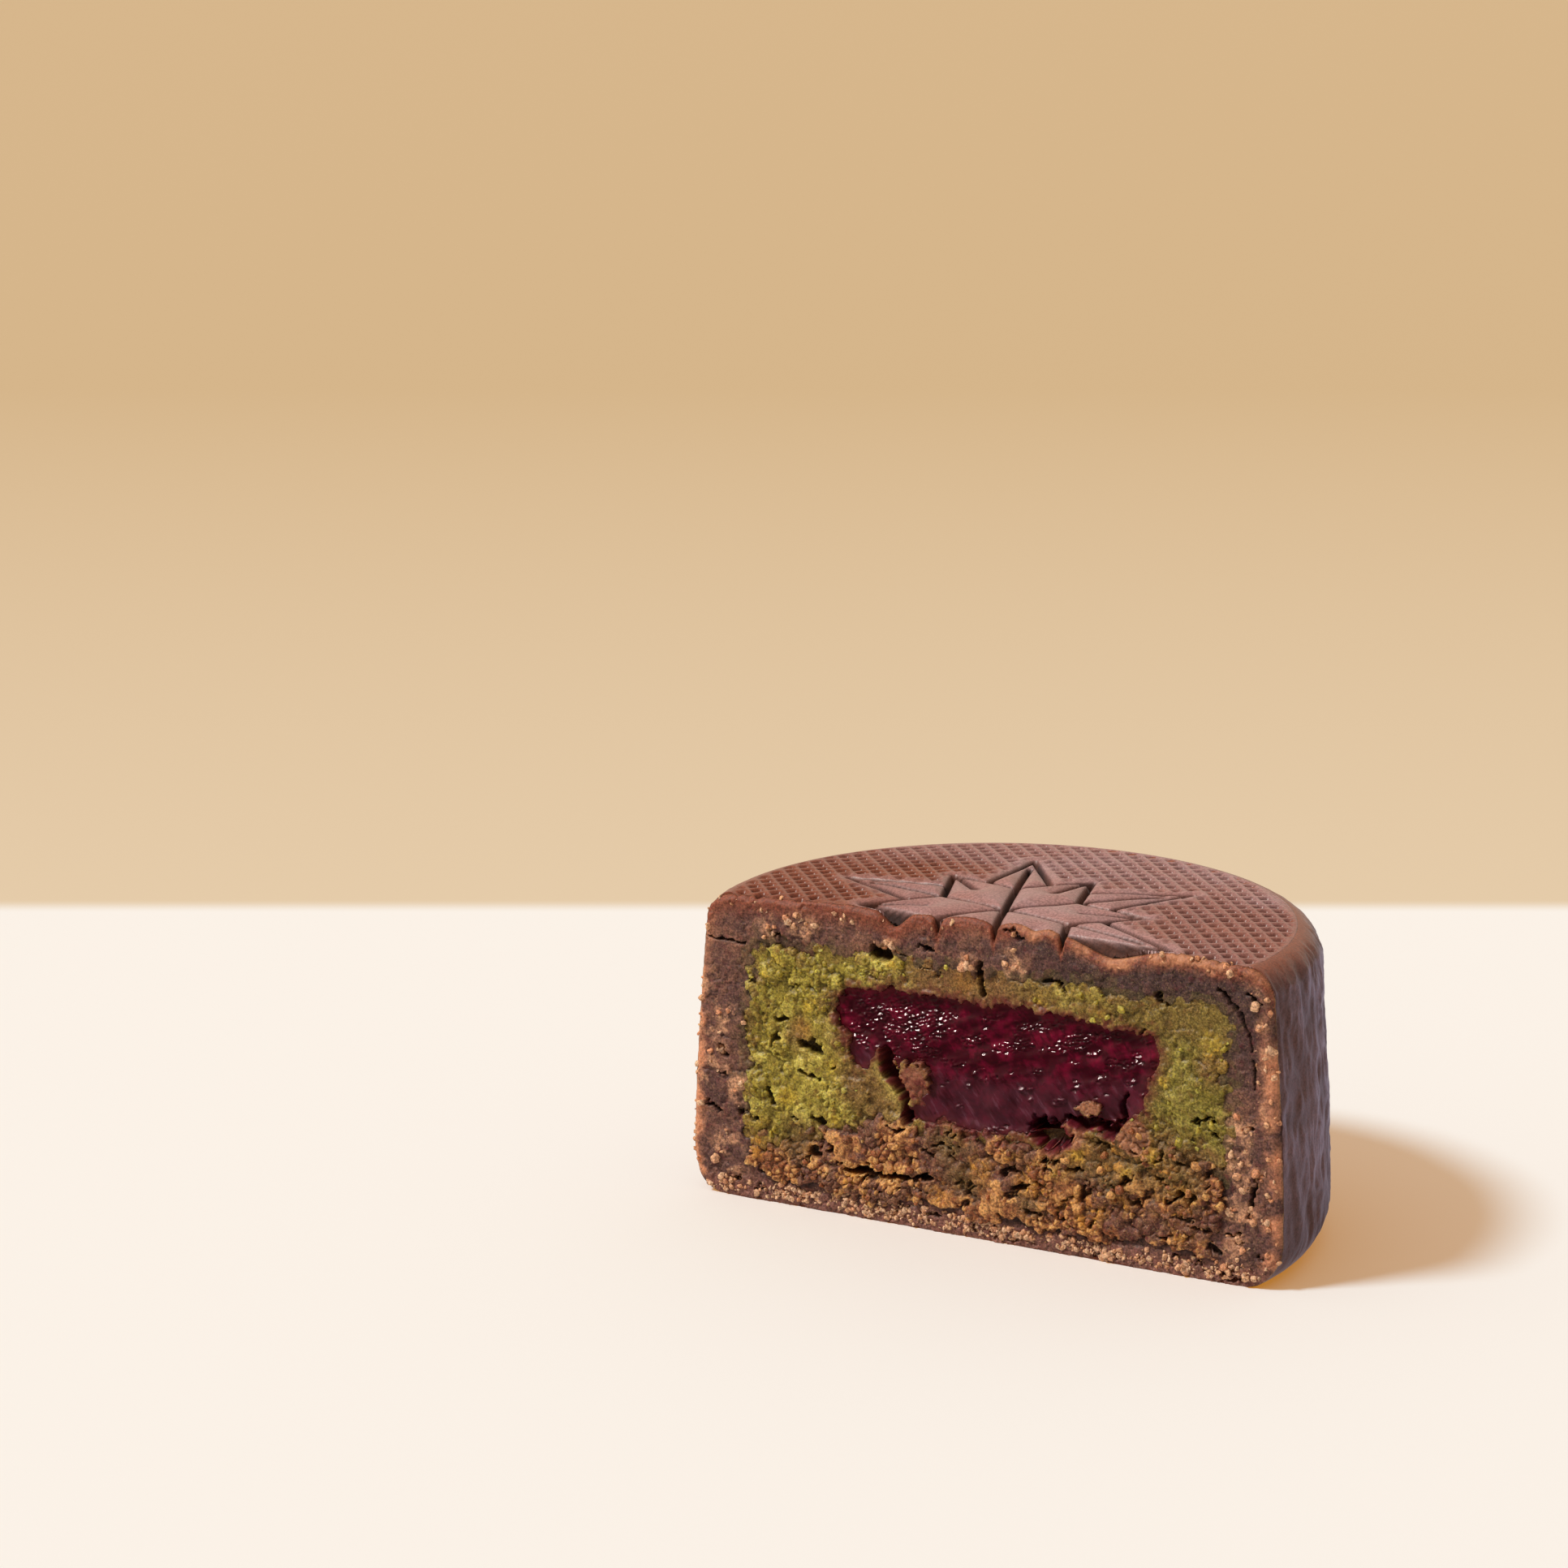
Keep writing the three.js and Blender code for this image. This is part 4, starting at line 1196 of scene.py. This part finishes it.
def skinMesh():
    # an outer and an inner sheet from the left end of the cut round the back to the right end
    stations = profileStations()
    rows = len(stations)
    radii, heights = np.array(stations).T
    ends = np.sqrt(np.clip(radii ** 2 - cake["cutBehind"] ** 2, 0, None))

    def sheet(columns, inset):
        shares = np.linspace(0, 1, columns + 1)
        right, left = (np.arcsin(np.clip(frontOf(e, heights) / np.maximum(radii, 1e-6), -1, 1))[:, None]
                       for e in (ends, -ends))
        angle = -right + (math.pi + right + left) * shares
        r = radii[:, None] * np.ones(columns + 1)
        z = heights[:, None] * np.ones(columns + 1)
        r = r + smoothStep(r, rimRadius + 0.9, rimRadius + 2.4) * wallRelief(angle, z) * smoothStep(z, 0, 0.5)
        x, y = r * np.cos(angle), r * np.sin(angle)
        if inset:
            lean = np.clip((r - rimRadius) / cake["shoulderRound"], 0, 1)
            shrink = 1 - inset * lean / cake["radius"]
            x, y = x * shrink, y * shrink
            middle = cake["height"] / 2
            z = middle + (z - middle) * (1 - inset / middle)
            y = y + smoothStep(-y, 2, 4)
        return np.stack([x, y, z], axis=2)

    outer, inner = sheet(skin["columns"], 0), sheet(skin["innerColumns"], skin["thick"])

    def grid(height, width, offset, flip):
        j, i = np.meshgrid(np.arange(height - 1), np.arange(width - 1), indexing="ij")
        a = (offset + j * width + i).ravel()
        quads = np.stack([a, a + 1, a + width + 1, a + width], axis=1)
        return quads[:, ::-1] if flip else quads

    wide, narrow = skin["columns"] + 1, skin["innerColumns"] + 1
    second = rows * wide
    faces = [grid(rows, wide, 0, False), grid(rows, narrow, second, True)]
    for outerColumn, innerColumn, flip in ((0, 0, True), (wide - 1, narrow - 1, False)):
        j = np.arange(np.count_nonzero(radii < cake["cutBehind"]) - 1, rows - 1)
        a, b = j * wide + outerColumn, second + j * narrow + innerColumn
        strip = np.stack([a, b, b + narrow, a + wide], axis=1)
        faces.append(strip[:, ::-1] if flip else strip)
    # the upper rim: many outer columns meet few inner ones
    last, lastInner = (rows - 1) * wide, second + (rows - 1) * narrow
    for k in range(skin["innerColumns"]):
        first, final = [round(c * skin["columns"] / skin["innerColumns"]) for c in (k, k + 1)]
        ring = [last + c for c in range(first, final + 1)] + [lastInner + k + 1, lastInner + k]
        faces.append(np.array([[ring[-1], ring[c], ring[c + 1]] for c in range(len(ring) - 2)]))
    flat = np.concatenate([outer.reshape(-1, 3), inner.reshape(-1, 3)])
    r = np.hypot(flat[:, 0], flat[:, 1])
    wall = smoothStep(r, rimRadius + 1.3, rimRadius + 3.0) * smoothStep(flat[:, 2], -1, 3)
    angle = np.arctan2(flat[:, 1], flat[:, 0])
    angle = np.where(angle < -math.pi / 2, angle + 2 * math.pi, angle)
    # painted shade: darker in the wall's creases and towards its foot
    crease = skin["creaseShade"] * smoothStep(-wallRelief(angle, flat[:, 2]), 0.06, 0.22)
    foot = skin["footShade"] * (1 - smoothStep(flat[:, 2], 2, 13))
    mesh = makeMesh("crust_skin", flat, faces, {"wall": wall, "paintedLineShade": wall * np.maximum(crease, foot)})
    weld(mesh)
    mesh.materials.append(finishes["baked_cocoa_skin"])
    return mesh


def pressedShare(x, y):
    # how deeply the mould's lattice is pressed: less round the flower, none on the rim
    plain = flowerFields(x, y)[1]
    r = np.hypot(x, y)
    fade = smoothStep(fractal(x, y, 9, 91) + (r - 9) / 9, -0.6, 0.6)
    band = np.interp(x, *zip(*checks["plainBand"]))
    clear = smoothStep(y + cake["cutBehind"] + 0.8 * fractal(x, y, 2.6, 99) - band, -0.6, 0.6)
    uneven = 1 + 0.3 * fractal(x, y, 3, 95) + 0.5 * fractal(x, y, 1.2, 93, 2)
    return smoothStep(checks["radius"] - r, 0, 0.5) * (1 - plain) * (0.25 + 0.75 * fade) * clear * uneven


def topMesh():
    step, reach, cut = skin["topGrid"], skin["topStart"], cake["cutBehind"]
    x, y = np.meshgrid(np.arange(-reach - step, reach + step, step), np.arange(-cut - 1, reach + step, step))
    column = np.clip(((x[0] - fields["x"][0, 0]) / cutFace["grid"]).astype(int), 0, None)
    front = -frontOf(x[0], fields["top"][column])[None, :]
    within = (np.hypot(x, y) < reach) & (y > front)
    cells = within[:-1, :-1] | within[1:, :-1] | within[:-1, 1:] | within[1:, 1:]
    # the outermost points move on to the cut's edge and the round rim
    y = np.maximum(y, front)
    r = np.hypot(x, y)
    rimX = np.sqrt(np.clip(reach ** 2 - y ** 2, 0, None))
    pull = np.where(r > reach, rimX / np.maximum(np.abs(x), 1e-6), 1)
    x = np.where((r > reach) & (np.abs(x) > np.abs(y)), x * pull, x)
    y = np.where(np.hypot(x, y) > reach, np.sqrt(np.clip(reach ** 2 - x ** 2, 0, None)), y)
    near, plain = flowerFields(x, y)
    # the top's paler tone round the flower, with a painted sheen that lightens it to the right and towards
    # the back
    paleAndPaintedSheen = 0.6 * plain + 0.4 * smoothStep(x + 5 * fractal(x, y, 8, 97), -14, 4)
    shares = {
        "pressed": pressedShare(x, y),
        # painted shade: the flower's lines darken towards their cores
        "paintedHollowShade": 0.9 * (1 - smoothStep(near, 0.05, 0.7 * flower["lineWidth"])),
        "paintedLineShade": 1 - smoothStep(near, 0.32 * flower["lineWidth"], 0.6 * flower["lineWidth"]),
        "paleAndPaintedSheen": paleAndPaintedSheen + 0.7 * smoothStep(y + 6 * fractal(x, y, 9, 89), 6, 24),
    }

    def behind(rim):
        return [rim * [skin["topTaper"], skin["topTaper"], 0] + [0, 0.5, cake["height"] - skin["topThick"]]]

    return closedSolid("crust_top", cells, np.stack([x, y, topHeight(x, y)], axis=2), shares, behind)


def newTree(name, **inputs):
    # a tree with named inputs, and the sockets that it starts from
    tree = bpy.data.node_groups.new(name, "GeometryNodeTree")
    for key, kind in {"Geometry": "Geometry", **inputs, "Material": "Material"}.items():
        tree.interface.new_socket(key, in_out="INPUT", socket_type="NodeSocket" + kind)
    tree.interface.new_socket("Geometry", in_out="OUTPUT", socket_type="NodeSocketGeometry")
    return tree, addNode(tree, "NodeGroupInput").outputs


def endTree(tree, start, geometry):
    # the plain mesh with its finish
    real = addNode(tree, "GeometryNodeRealizeInstances", {"Geometry": geometry})
    painted = addNode(tree, "GeometryNodeSetMaterial", {"Geometry": real, "Material": start["Material"]})
    addNode(tree, "NodeGroupOutput", {"Geometry": painted})
    return tree


def checkTree():
    # presses a lattice of square pits into whatever carries the share "pressed", and adds them to the painted
    # shade of the hollows
    tree, start = newTree("pressedChecks", Pitch="Float", Turn="Float", Depth="Float", Ridge="Float")
    place = addNode(tree, "GeometryNodeInputPosition")
    turnedPlace = addNode(
        tree, "ShaderNodeVectorRotate", {"Vector": place, "Angle": start["Turn"]}, rotation_type="Z_AXIS",
    )
    over = addNode(tree, "ShaderNodeMath", {0: 1.0, 1: start["Pitch"]}, operation="DIVIDE")
    scaled = addNode(tree, "ShaderNodeVectorMath", {0: turnedPlace, "Scale": over}, operation="SCALE")
    cell = addNode(tree, "ShaderNodeVectorMath", {0: scaled}, operation="FRACTION")
    centred = addNode(tree, "ShaderNodeVectorMath", {0: cell, 1: (0.5, 0.5, 0.5)}, operation="SUBTRACT")
    size = addNode(tree, "ShaderNodeVectorMath", {0: centred}, operation="ABSOLUTE")
    apart = addNode(tree, "ShaderNodeSeparateXYZ", {0: size}).outputs
    far = addNode(tree, "ShaderNodeMath", {0: apart[0], 1: apart[1], 2: 0.12}, operation="SMOOTH_MAX")
    edge = addNode(tree, "ShaderNodeMath", {0: 0.5, 1: start["Ridge"]}, operation="SUBTRACT")
    pit = addNode(
        tree, "ShaderNodeMapRange", {"Value": far, 1: edge, 2: 0.14, 3: 0.0, 4: 1.0},
        interpolation_type="SMOOTHSTEP",
    )
    pressed = addNode(tree, "GeometryNodeInputNamedAttribute", {"Name": "pressed"}, data_type="FLOAT")
    amount = addNode(tree, "ShaderNodeMath", {0: pit, 1: pressed}, operation="MULTIPLY")
    drop = addNode(tree, "ShaderNodeMath", {0: amount, 1: start["Depth"]}, operation="MULTIPLY")
    down = addNode(tree, "ShaderNodeMath", {0: drop, 1: -1.0}, operation="MULTIPLY")
    offset = addNode(tree, "ShaderNodeCombineXYZ", {"Z": down})
    paintedHollowShade = addNode(tree, "GeometryNodeInputNamedAttribute", {"Name": "paintedHollowShade"}, data_type="FLOAT")
    both = addNode(tree, "ShaderNodeMath", {0: paintedHollowShade, 1: amount}, operation="MAXIMUM")
    stored = addNode(
        tree, "GeometryNodeStoreNamedAttribute",
        {"Geometry": start["Geometry"], "Name": "paintedHollowShade", "Value": both}, data_type="FLOAT", domain="POINT",
    )
    moved = addNode(tree, "GeometryNodeSetPosition", {"Geometry": stored, "Offset": offset})
    return endTree(tree, start, moved)


def grown(mesh, tree, inputs):
    # the mesh that a node tree makes of another, as a plain mesh
    carrier = addObject("carrier", mesh)
    modifier = carrier.modifiers.new("nodes", "NODES")
    modifier.node_group = tree
    for item in tree.interface.items_tree:
        if item.in_out == "INPUT" and item.name in inputs:
            modifier[item.identifier] = inputs[item.name]
    shaped = carrier.evaluated_get(bpy.context.evaluated_depsgraph_get())
    result = bpy.data.meshes.new_from_object(shaped)
    bpy.data.objects.remove(carrier)
    return result


checksNodes = checkTree()
checkInputs = {
    "Pitch": checks["pitch"] * mm,
    "Turn": math.radians(-checks["turn"]),
    "Depth": checks["depth"] * mm,
    "Ridge": checks["ridge"] / 2,
}
addPiece("crust_skin", skinMesh(), "cocoa_crust", "crust")
topDone = grown(topMesh(), checksNodes, {**checkInputs, "Material": finishes["baked_cocoa_skin"]})
topDone.name = "crust_top"
addPiece("crust_top", topDone, "cocoa_crust", "crust")
print("skin pressed:", len(topDone.polygons), "faces")


# the layers behind the cut, each round about the cake's axis

shades = shadeFields()
fillBack = roundBack(24.4, (-4.2, -2, 4, 10, 15, 19, 22, 24), 0.99)
layers = {
    "crust_dough": {
        "cells": doughCells, "centre": (0, 14.2), "finish": "baked_cocoa_dough", "pits": ("pressed",),
        "backs": roundBack(28.6, (-4.2, -2, 4, 10, 16, 21, 25, 27), 0.955, 0.88),
        "slot": "cocoa_crust", "node": "crust",
    },
    "paste_layer": {
        "cells": pasteCells, "centre": (0, 16), "finish": "ground_pistachio_paste", "backs": fillBack,
        "slot": "pistachio_paste", "node": "pistachio_paste",
    },
    "crumb_layer": {
        "cells": crumbCells, "centre": (0, 6), "finish": "browned_butter_crumb", "backs": fillBack,
        "slot": "browned_crumb", "node": "browned_crumb",
    },
    "jam_layer": {
        "cells": jamCells, "centre": (1.3, 18), "finish": "boiled_berry_jam",
        "backs": [(y, math.sqrt(16.3 ** 2 - (y + 2) ** 2) / 16.2, 0.97) for y in (-4, -2, 1, 5, 9, 12, 14)],
        "slot": "berry_jam", "node": "jam_core",
    },
}


def makeLayer(name, spec):
    # the dough also takes on the pits of the pressed top
    carried = recipes[spec["finish"]]["carries"] + spec.get("pits", ())
    shares = {key: shades[key] for key in carried}
    done = layerMesh(name, spec["cells"], shares, spec["centre"], spec["backs"])
    if "pits" in spec:
        done = grown(done, checksNodes, {**checkInputs, "Material": finishes[spec["finish"]]})
    else:
        done.materials.append(finishes[spec["finish"]])
    addPiece(name, done, spec["slot"], spec["node"])
    print("layer:", name, len(done.polygons), "faces")


for name, spec in layers.items():
    makeLayer(name, spec)


# loose crumbs and grains that stand out of the cut

crumbShape = {
    "subdivisions": 2,
    "rarity": 2.2,  # the higher, the fewer large ones
    "narrowest": 0.65,
    "widest": 1.25,
    "dentWide": 0.3,
    "dentDeep": 0.6,
}


def crumbTree():
    # scatters irregular crumbs, half sunk, over whatever carries the share "scatter"
    tree, start = newTree(
        "scatteredCrumbs", Density="Float", Smallest="Float", Largest="Float", Dullest="Float",
        Brightest="Float", Seed="Int",
    )
    where = addNode(tree, "GeometryNodeInputNamedAttribute", {"Name": "scatter"}, data_type="FLOAT")
    thick = addNode(tree, "ShaderNodeMath", {0: where, 1: start["Density"]}, operation="MULTIPLY")
    places = addNode(
        tree, "GeometryNodeDistributePointsOnFaces",
        {"Mesh": start["Geometry"], "Density": thick, "Seed": start["Seed"]}, distribute_method="RANDOM",
    ).outputs["Points"]
    lump = addNode(
        tree, "GeometryNodeMeshIcoSphere", {"Radius": 1.0, "Subdivisions": crumbShape["subdivisions"]},
    ).outputs["Mesh"]
    smooth = addNode(tree, "GeometryNodeSetShadeSmooth", {"Geometry": lump})
    draw = addNode(
        tree, "FunctionNodeRandomValue", {2: 0.0, 3: 1.0, "Seed": start["Seed"]}, data_type="FLOAT",
    ).outputs[1]
    skewed = addNode(tree, "ShaderNodeMath", {0: draw, 1: crumbShape["rarity"]}, operation="POWER")
    size = addNode(tree, "ShaderNodeMapRange", {"Value": skewed, 3: start["Smallest"], 4: start["Largest"]})
    stretch = addNode(
        tree, "FunctionNodeRandomValue",
        {0: [crumbShape["narrowest"]] * 3, 1: [crumbShape["widest"]] * 3}, data_type="FLOAT_VECTOR",
    )
    scale = addNode(tree, "ShaderNodeVectorMath", {0: stretch, "Scale": size}, operation="SCALE")
    turn = addNode(
        tree, "FunctionNodeRandomValue", {0: (0, 0, 0), 1: (6.28, 6.28, 6.28)}, data_type="FLOAT_VECTOR",
    )
    laid = addNode(
        tree, "GeometryNodeInstanceOnPoints",
        {"Points": places, "Instance": smooth, "Rotation": turn, "Scale": scale},
    )
    tone = addNode(
        tree, "FunctionNodeRandomValue", {2: start["Dullest"], 3: start["Brightest"], "Seed": 7},
        data_type="FLOAT",
    ).outputs[1]
    toned = addNode(
        tree, "GeometryNodeStoreNamedAttribute",
        {"Geometry": laid, "Name": "grain", "Value": tone}, data_type="FLOAT", domain="INSTANCE",
    )
    real = addNode(tree, "GeometryNodeRealizeInstances", {"Geometry": toned})
    rough = addNode(
        tree, "ShaderNodeTexNoise", {"Scale": 1 / (crumbShape["dentWide"] * mm), "Detail": 2.0},
    ).outputs["Color"]
    centred = addNode(tree, "ShaderNodeVectorMath", {0: rough, 1: (0.5, 0.5, 0.5)}, operation="SUBTRACT")
    bumpy = addNode(
        tree, "ShaderNodeVectorMath", {0: centred, "Scale": crumbShape["dentDeep"] * mm}, operation="SCALE",
    )
    moved = addNode(tree, "GeometryNodeSetPosition", {"Geometry": real, "Offset": bumpy})
    return endTree(tree, start, moved)


calm = (fields["deep"] < 0.05) * (1 - shades["stain"])
brokenOff = np.maximum(fields["crumbly"], np.maximum(0.6 * shades["edge"], 0.15 * shades["lip"]))
low = shades["base"] * smoothStep(fields["z"], 0.3, 0.6)
heaped = smoothStep(fractal(fields["x"], fields["z"], 1.3, 93, 2), -0.35, 0.15)
loose = {
    "pistachio_grains": {
        "on": "paste_layer", "where": (0.1 + fields["clump"]) * calm * (1 - shades["lump"]),
        "perMm": 0.7, "sizes": (0.1, 0.4), "tones": (0.2, 0.75), "seed": 3,
        "finish": "ground_pistachio_paste",
    },
    "browned_grains": {
        "on": "crumb_layer", "where": (0.1 + fields["clump"]) * calm,
        "perMm": 0.6, "sizes": (0.1, 0.45), "tones": (0.15, 0.95), "seed": 5,
        "finish": "browned_butter_crumb",
    },
    "toasted_crumbs": {
        "on": "crust_dough", "where": brokenOff,
        "perMm": 2.6, "sizes": (0.07, 0.42), "tones": (0.0, 1.0), "seed": 9,
        "finish": "toasted_crumbs",
    },
    "base_crumbs": {
        "on": "crust_dough", "where": low * (0.25 + 0.75 * heaped),
        "perMm": 13.0, "sizes": (0.05, 0.32), "tones": (0.2, 1.3), "seed": 13,
        "finish": "toasted_crumbs",
    },
}


def looseCrumbs(name, spec, tree):
    layer = layers[spec["on"]]
    used, quads = cellQuads(layer["cells"], points.shape[1])
    under = makeMesh("under", points.reshape(-1, 3)[used], [quads], {"scatter": spec["where"].ravel()[used]})
    smallest, largest = spec["sizes"]
    dullest, brightest = spec["tones"]
    done = grown(under, tree, {
        "Density": spec["perMm"] / mm ** 2, "Smallest": smallest * mm, "Largest": largest * mm,
        "Dullest": dullest, "Brightest": brightest, "Seed": spec["seed"],
        "Material": finishes[spec["finish"]],
    })
    done.name = name
    addPiece(name, done, layer["slot"], layer["node"])
    print("loose crumbs:", name, len(done.polygons), "faces")


crumbNodes = crumbTree()
for name, spec in loose.items():
    looseCrumbs(name, spec, crumbNodes)


# stage

stage = {
    "floor": "#b7d9f0",
    "paperNear": "#97acad",
    # painted shade: the paper darkens further behind
    "paperFarShade": "#7c8f8a",
    "floorReach": 6.0,  # metres
    "paperEdge": 0.109,  # metres behind the cake where the paper turns beige
    "paperBlur": 0.003,
    "paperFade": 0.4,
    "paperRough": 0.9,
    "glow": (0.398, 0.147, 0.0),  # painted light: the floor glows warm, which lifts and yellows the shadow on it
    "sunTurn": 46,
    "sunHigh": 53,
    "sunWide": 12,
    "sunStrength": 2.7,
    "sunColour": "#fffaf2",
    "sky": "#ffebd2",
    "brightSide": (-0.45, 0.6, 0.66),  # the room is bright behind and to the left, dark towards the front
    "skyLow": 0.1,
    "skyHigh": 0.64,
    "skyTurns": (-0.6, 0.8),  # how far a direction leans that way, from dark to bright
    "cool": "#c6bfd8",  # low and to the right the room is cool; only the dark side of the cake mirrors it
    "coolSide": (0.2, 0.95, -0.24),
    "coolMore": 0.76,
    "coolTurns": (0.76, 0.98),
    "coolUnder": (-0.02, -0.1),  # height of the direction, from none to all
}


def makeStage():
    reach = stage["floorReach"]
    corners = [(-reach, -reach, 0), (reach, -reach, 0), (reach, reach, 0), (-reach, reach, 0)]
    mesh = bpy.data.meshes.new("floor")
    mesh.from_pydata(corners, [], [(0, 1, 2, 3)])
    floor = addObject("floor", mesh)
    floor.visible_glossy = False  # wet and satin surfaces mirror the dim room, not the bright paper
    material, tree = newMaterial("matte_paper_floor")  # flat and dull, blue-white turning beige behind, with a painted warm glow
    place = addNode(tree, "ShaderNodeTexCoord").outputs["Object"]
    turn, edge, blur = math.radians(camera["azimuth"]), stage["paperEdge"], stage["paperBlur"]
    behind = addNode(
        tree, "ShaderNodeVectorMath", {0: place, 1: (-math.sin(turn), math.cos(turn), 0)},
        operation="DOT_PRODUCT",
    ).outputs["Value"]
    beige = addNode(
        tree, "ShaderNodeMapRange", {"Value": behind, 1: edge - blur, 2: edge + blur},
        interpolation_type="SMOOTHSTEP",
    )
    # painted shade: the beige paper darkens with distance behind the cake
    far = addNode(tree, "ShaderNodeMapRange", {"Value": behind, 1: edge, 2: edge + stage["paperFade"]})
    paper = addNode(
        tree, "ShaderNodeMix", {"Factor": far, 6: stage["paperNear"], 7: stage["paperFarShade"]}, data_type="RGBA",
    ).outputs[2]
    colour = addNode(
        tree, "ShaderNodeMix", {"Factor": beige, 6: stage["floor"], 7: paper}, data_type="RGBA",
    ).outputs[2]
    # painted light: the floor glows warm
    shader = addNode(
        tree, "ShaderNodeBsdfPrincipled",
        {
            "Base Color": colour, "Roughness": stage["paperRough"],
            "Emission Color": (*stage["glow"], 1), "Emission Strength": 1.0,
        },
    )
    addNode(tree, "ShaderNodeOutputMaterial", {"Surface": shader})
    mesh.materials.append(material)
    world = bpy.data.worlds.new("studio")
    world.use_nodes = True
    sky = world.node_tree
    sky.nodes.clear()
    toward = addNode(sky, "ShaderNodeTexCoord").outputs["Generated"]
    bright = addNode(
        sky, "ShaderNodeVectorMath", {0: toward, 1: stage["brightSide"]}, operation="DOT_PRODUCT",
    )
    dark, lit = stage["skyTurns"]
    level = addNode(
        sky, "ShaderNodeMapRange",
        {"Value": bright.outputs["Value"], 1: dark, 2: lit, 3: stage["skyLow"], 4: stage["skyHigh"]},
    )
    aside = addNode(sky, "ShaderNodeVectorMath", {0: toward, 1: stage["coolSide"]}, operation="DOT_PRODUCT")
    none, full = stage["coolTurns"]
    near = addNode(sky, "ShaderNodeMapRange", {"Value": aside.outputs["Value"], 1: none, 2: full})
    height = addNode(sky, "ShaderNodeSeparateXYZ", {0: toward}).outputs[2]
    none, full = stage["coolUnder"]
    low = addNode(sky, "ShaderNodeMapRange", {"Value": height, 1: none, 2: full})
    cool = addNode(sky, "ShaderNodeMath", {0: near, 1: low}, operation="MULTIPLY")
    strength = addNode(
        sky, "ShaderNodeMath", {0: cool, 1: stage["coolMore"], 2: level}, operation="MULTIPLY_ADD",
    )
    colour = addNode(
        sky, "ShaderNodeMix", {"Factor": cool, 6: stage["sky"], 7: stage["cool"]}, data_type="RGBA",
    ).outputs[2]
    backdrop = addNode(sky, "ShaderNodeBackground", {"Color": colour, "Strength": strength})
    addNode(sky, "ShaderNodeOutputWorld", {"Surface": backdrop})
    bpy.context.scene.world = world


def makeLights():
    turn, high = math.radians(stage["sunTurn"]), math.radians(stage["sunHigh"])
    toward = Vector((-math.sin(turn) * math.cos(high), -math.cos(turn) * math.cos(high), math.sin(high)))
    data = bpy.data.lights.new("windowLight", "SUN")
    data.energy = stage["sunStrength"]
    data.angle = math.radians(stage["sunWide"])
    data.color = linear(stage["sunColour"])[:3]
    addObject("windowLight", data).rotation_euler = toward.to_track_quat("Z", "Y").to_euler()


makeStage()
makeLights()
print("stage lit: floor, sky and window light")
bpy.context.scene.view_settings.view_transform = "Standard"
bpy.context.scene.view_settings.look = "None"
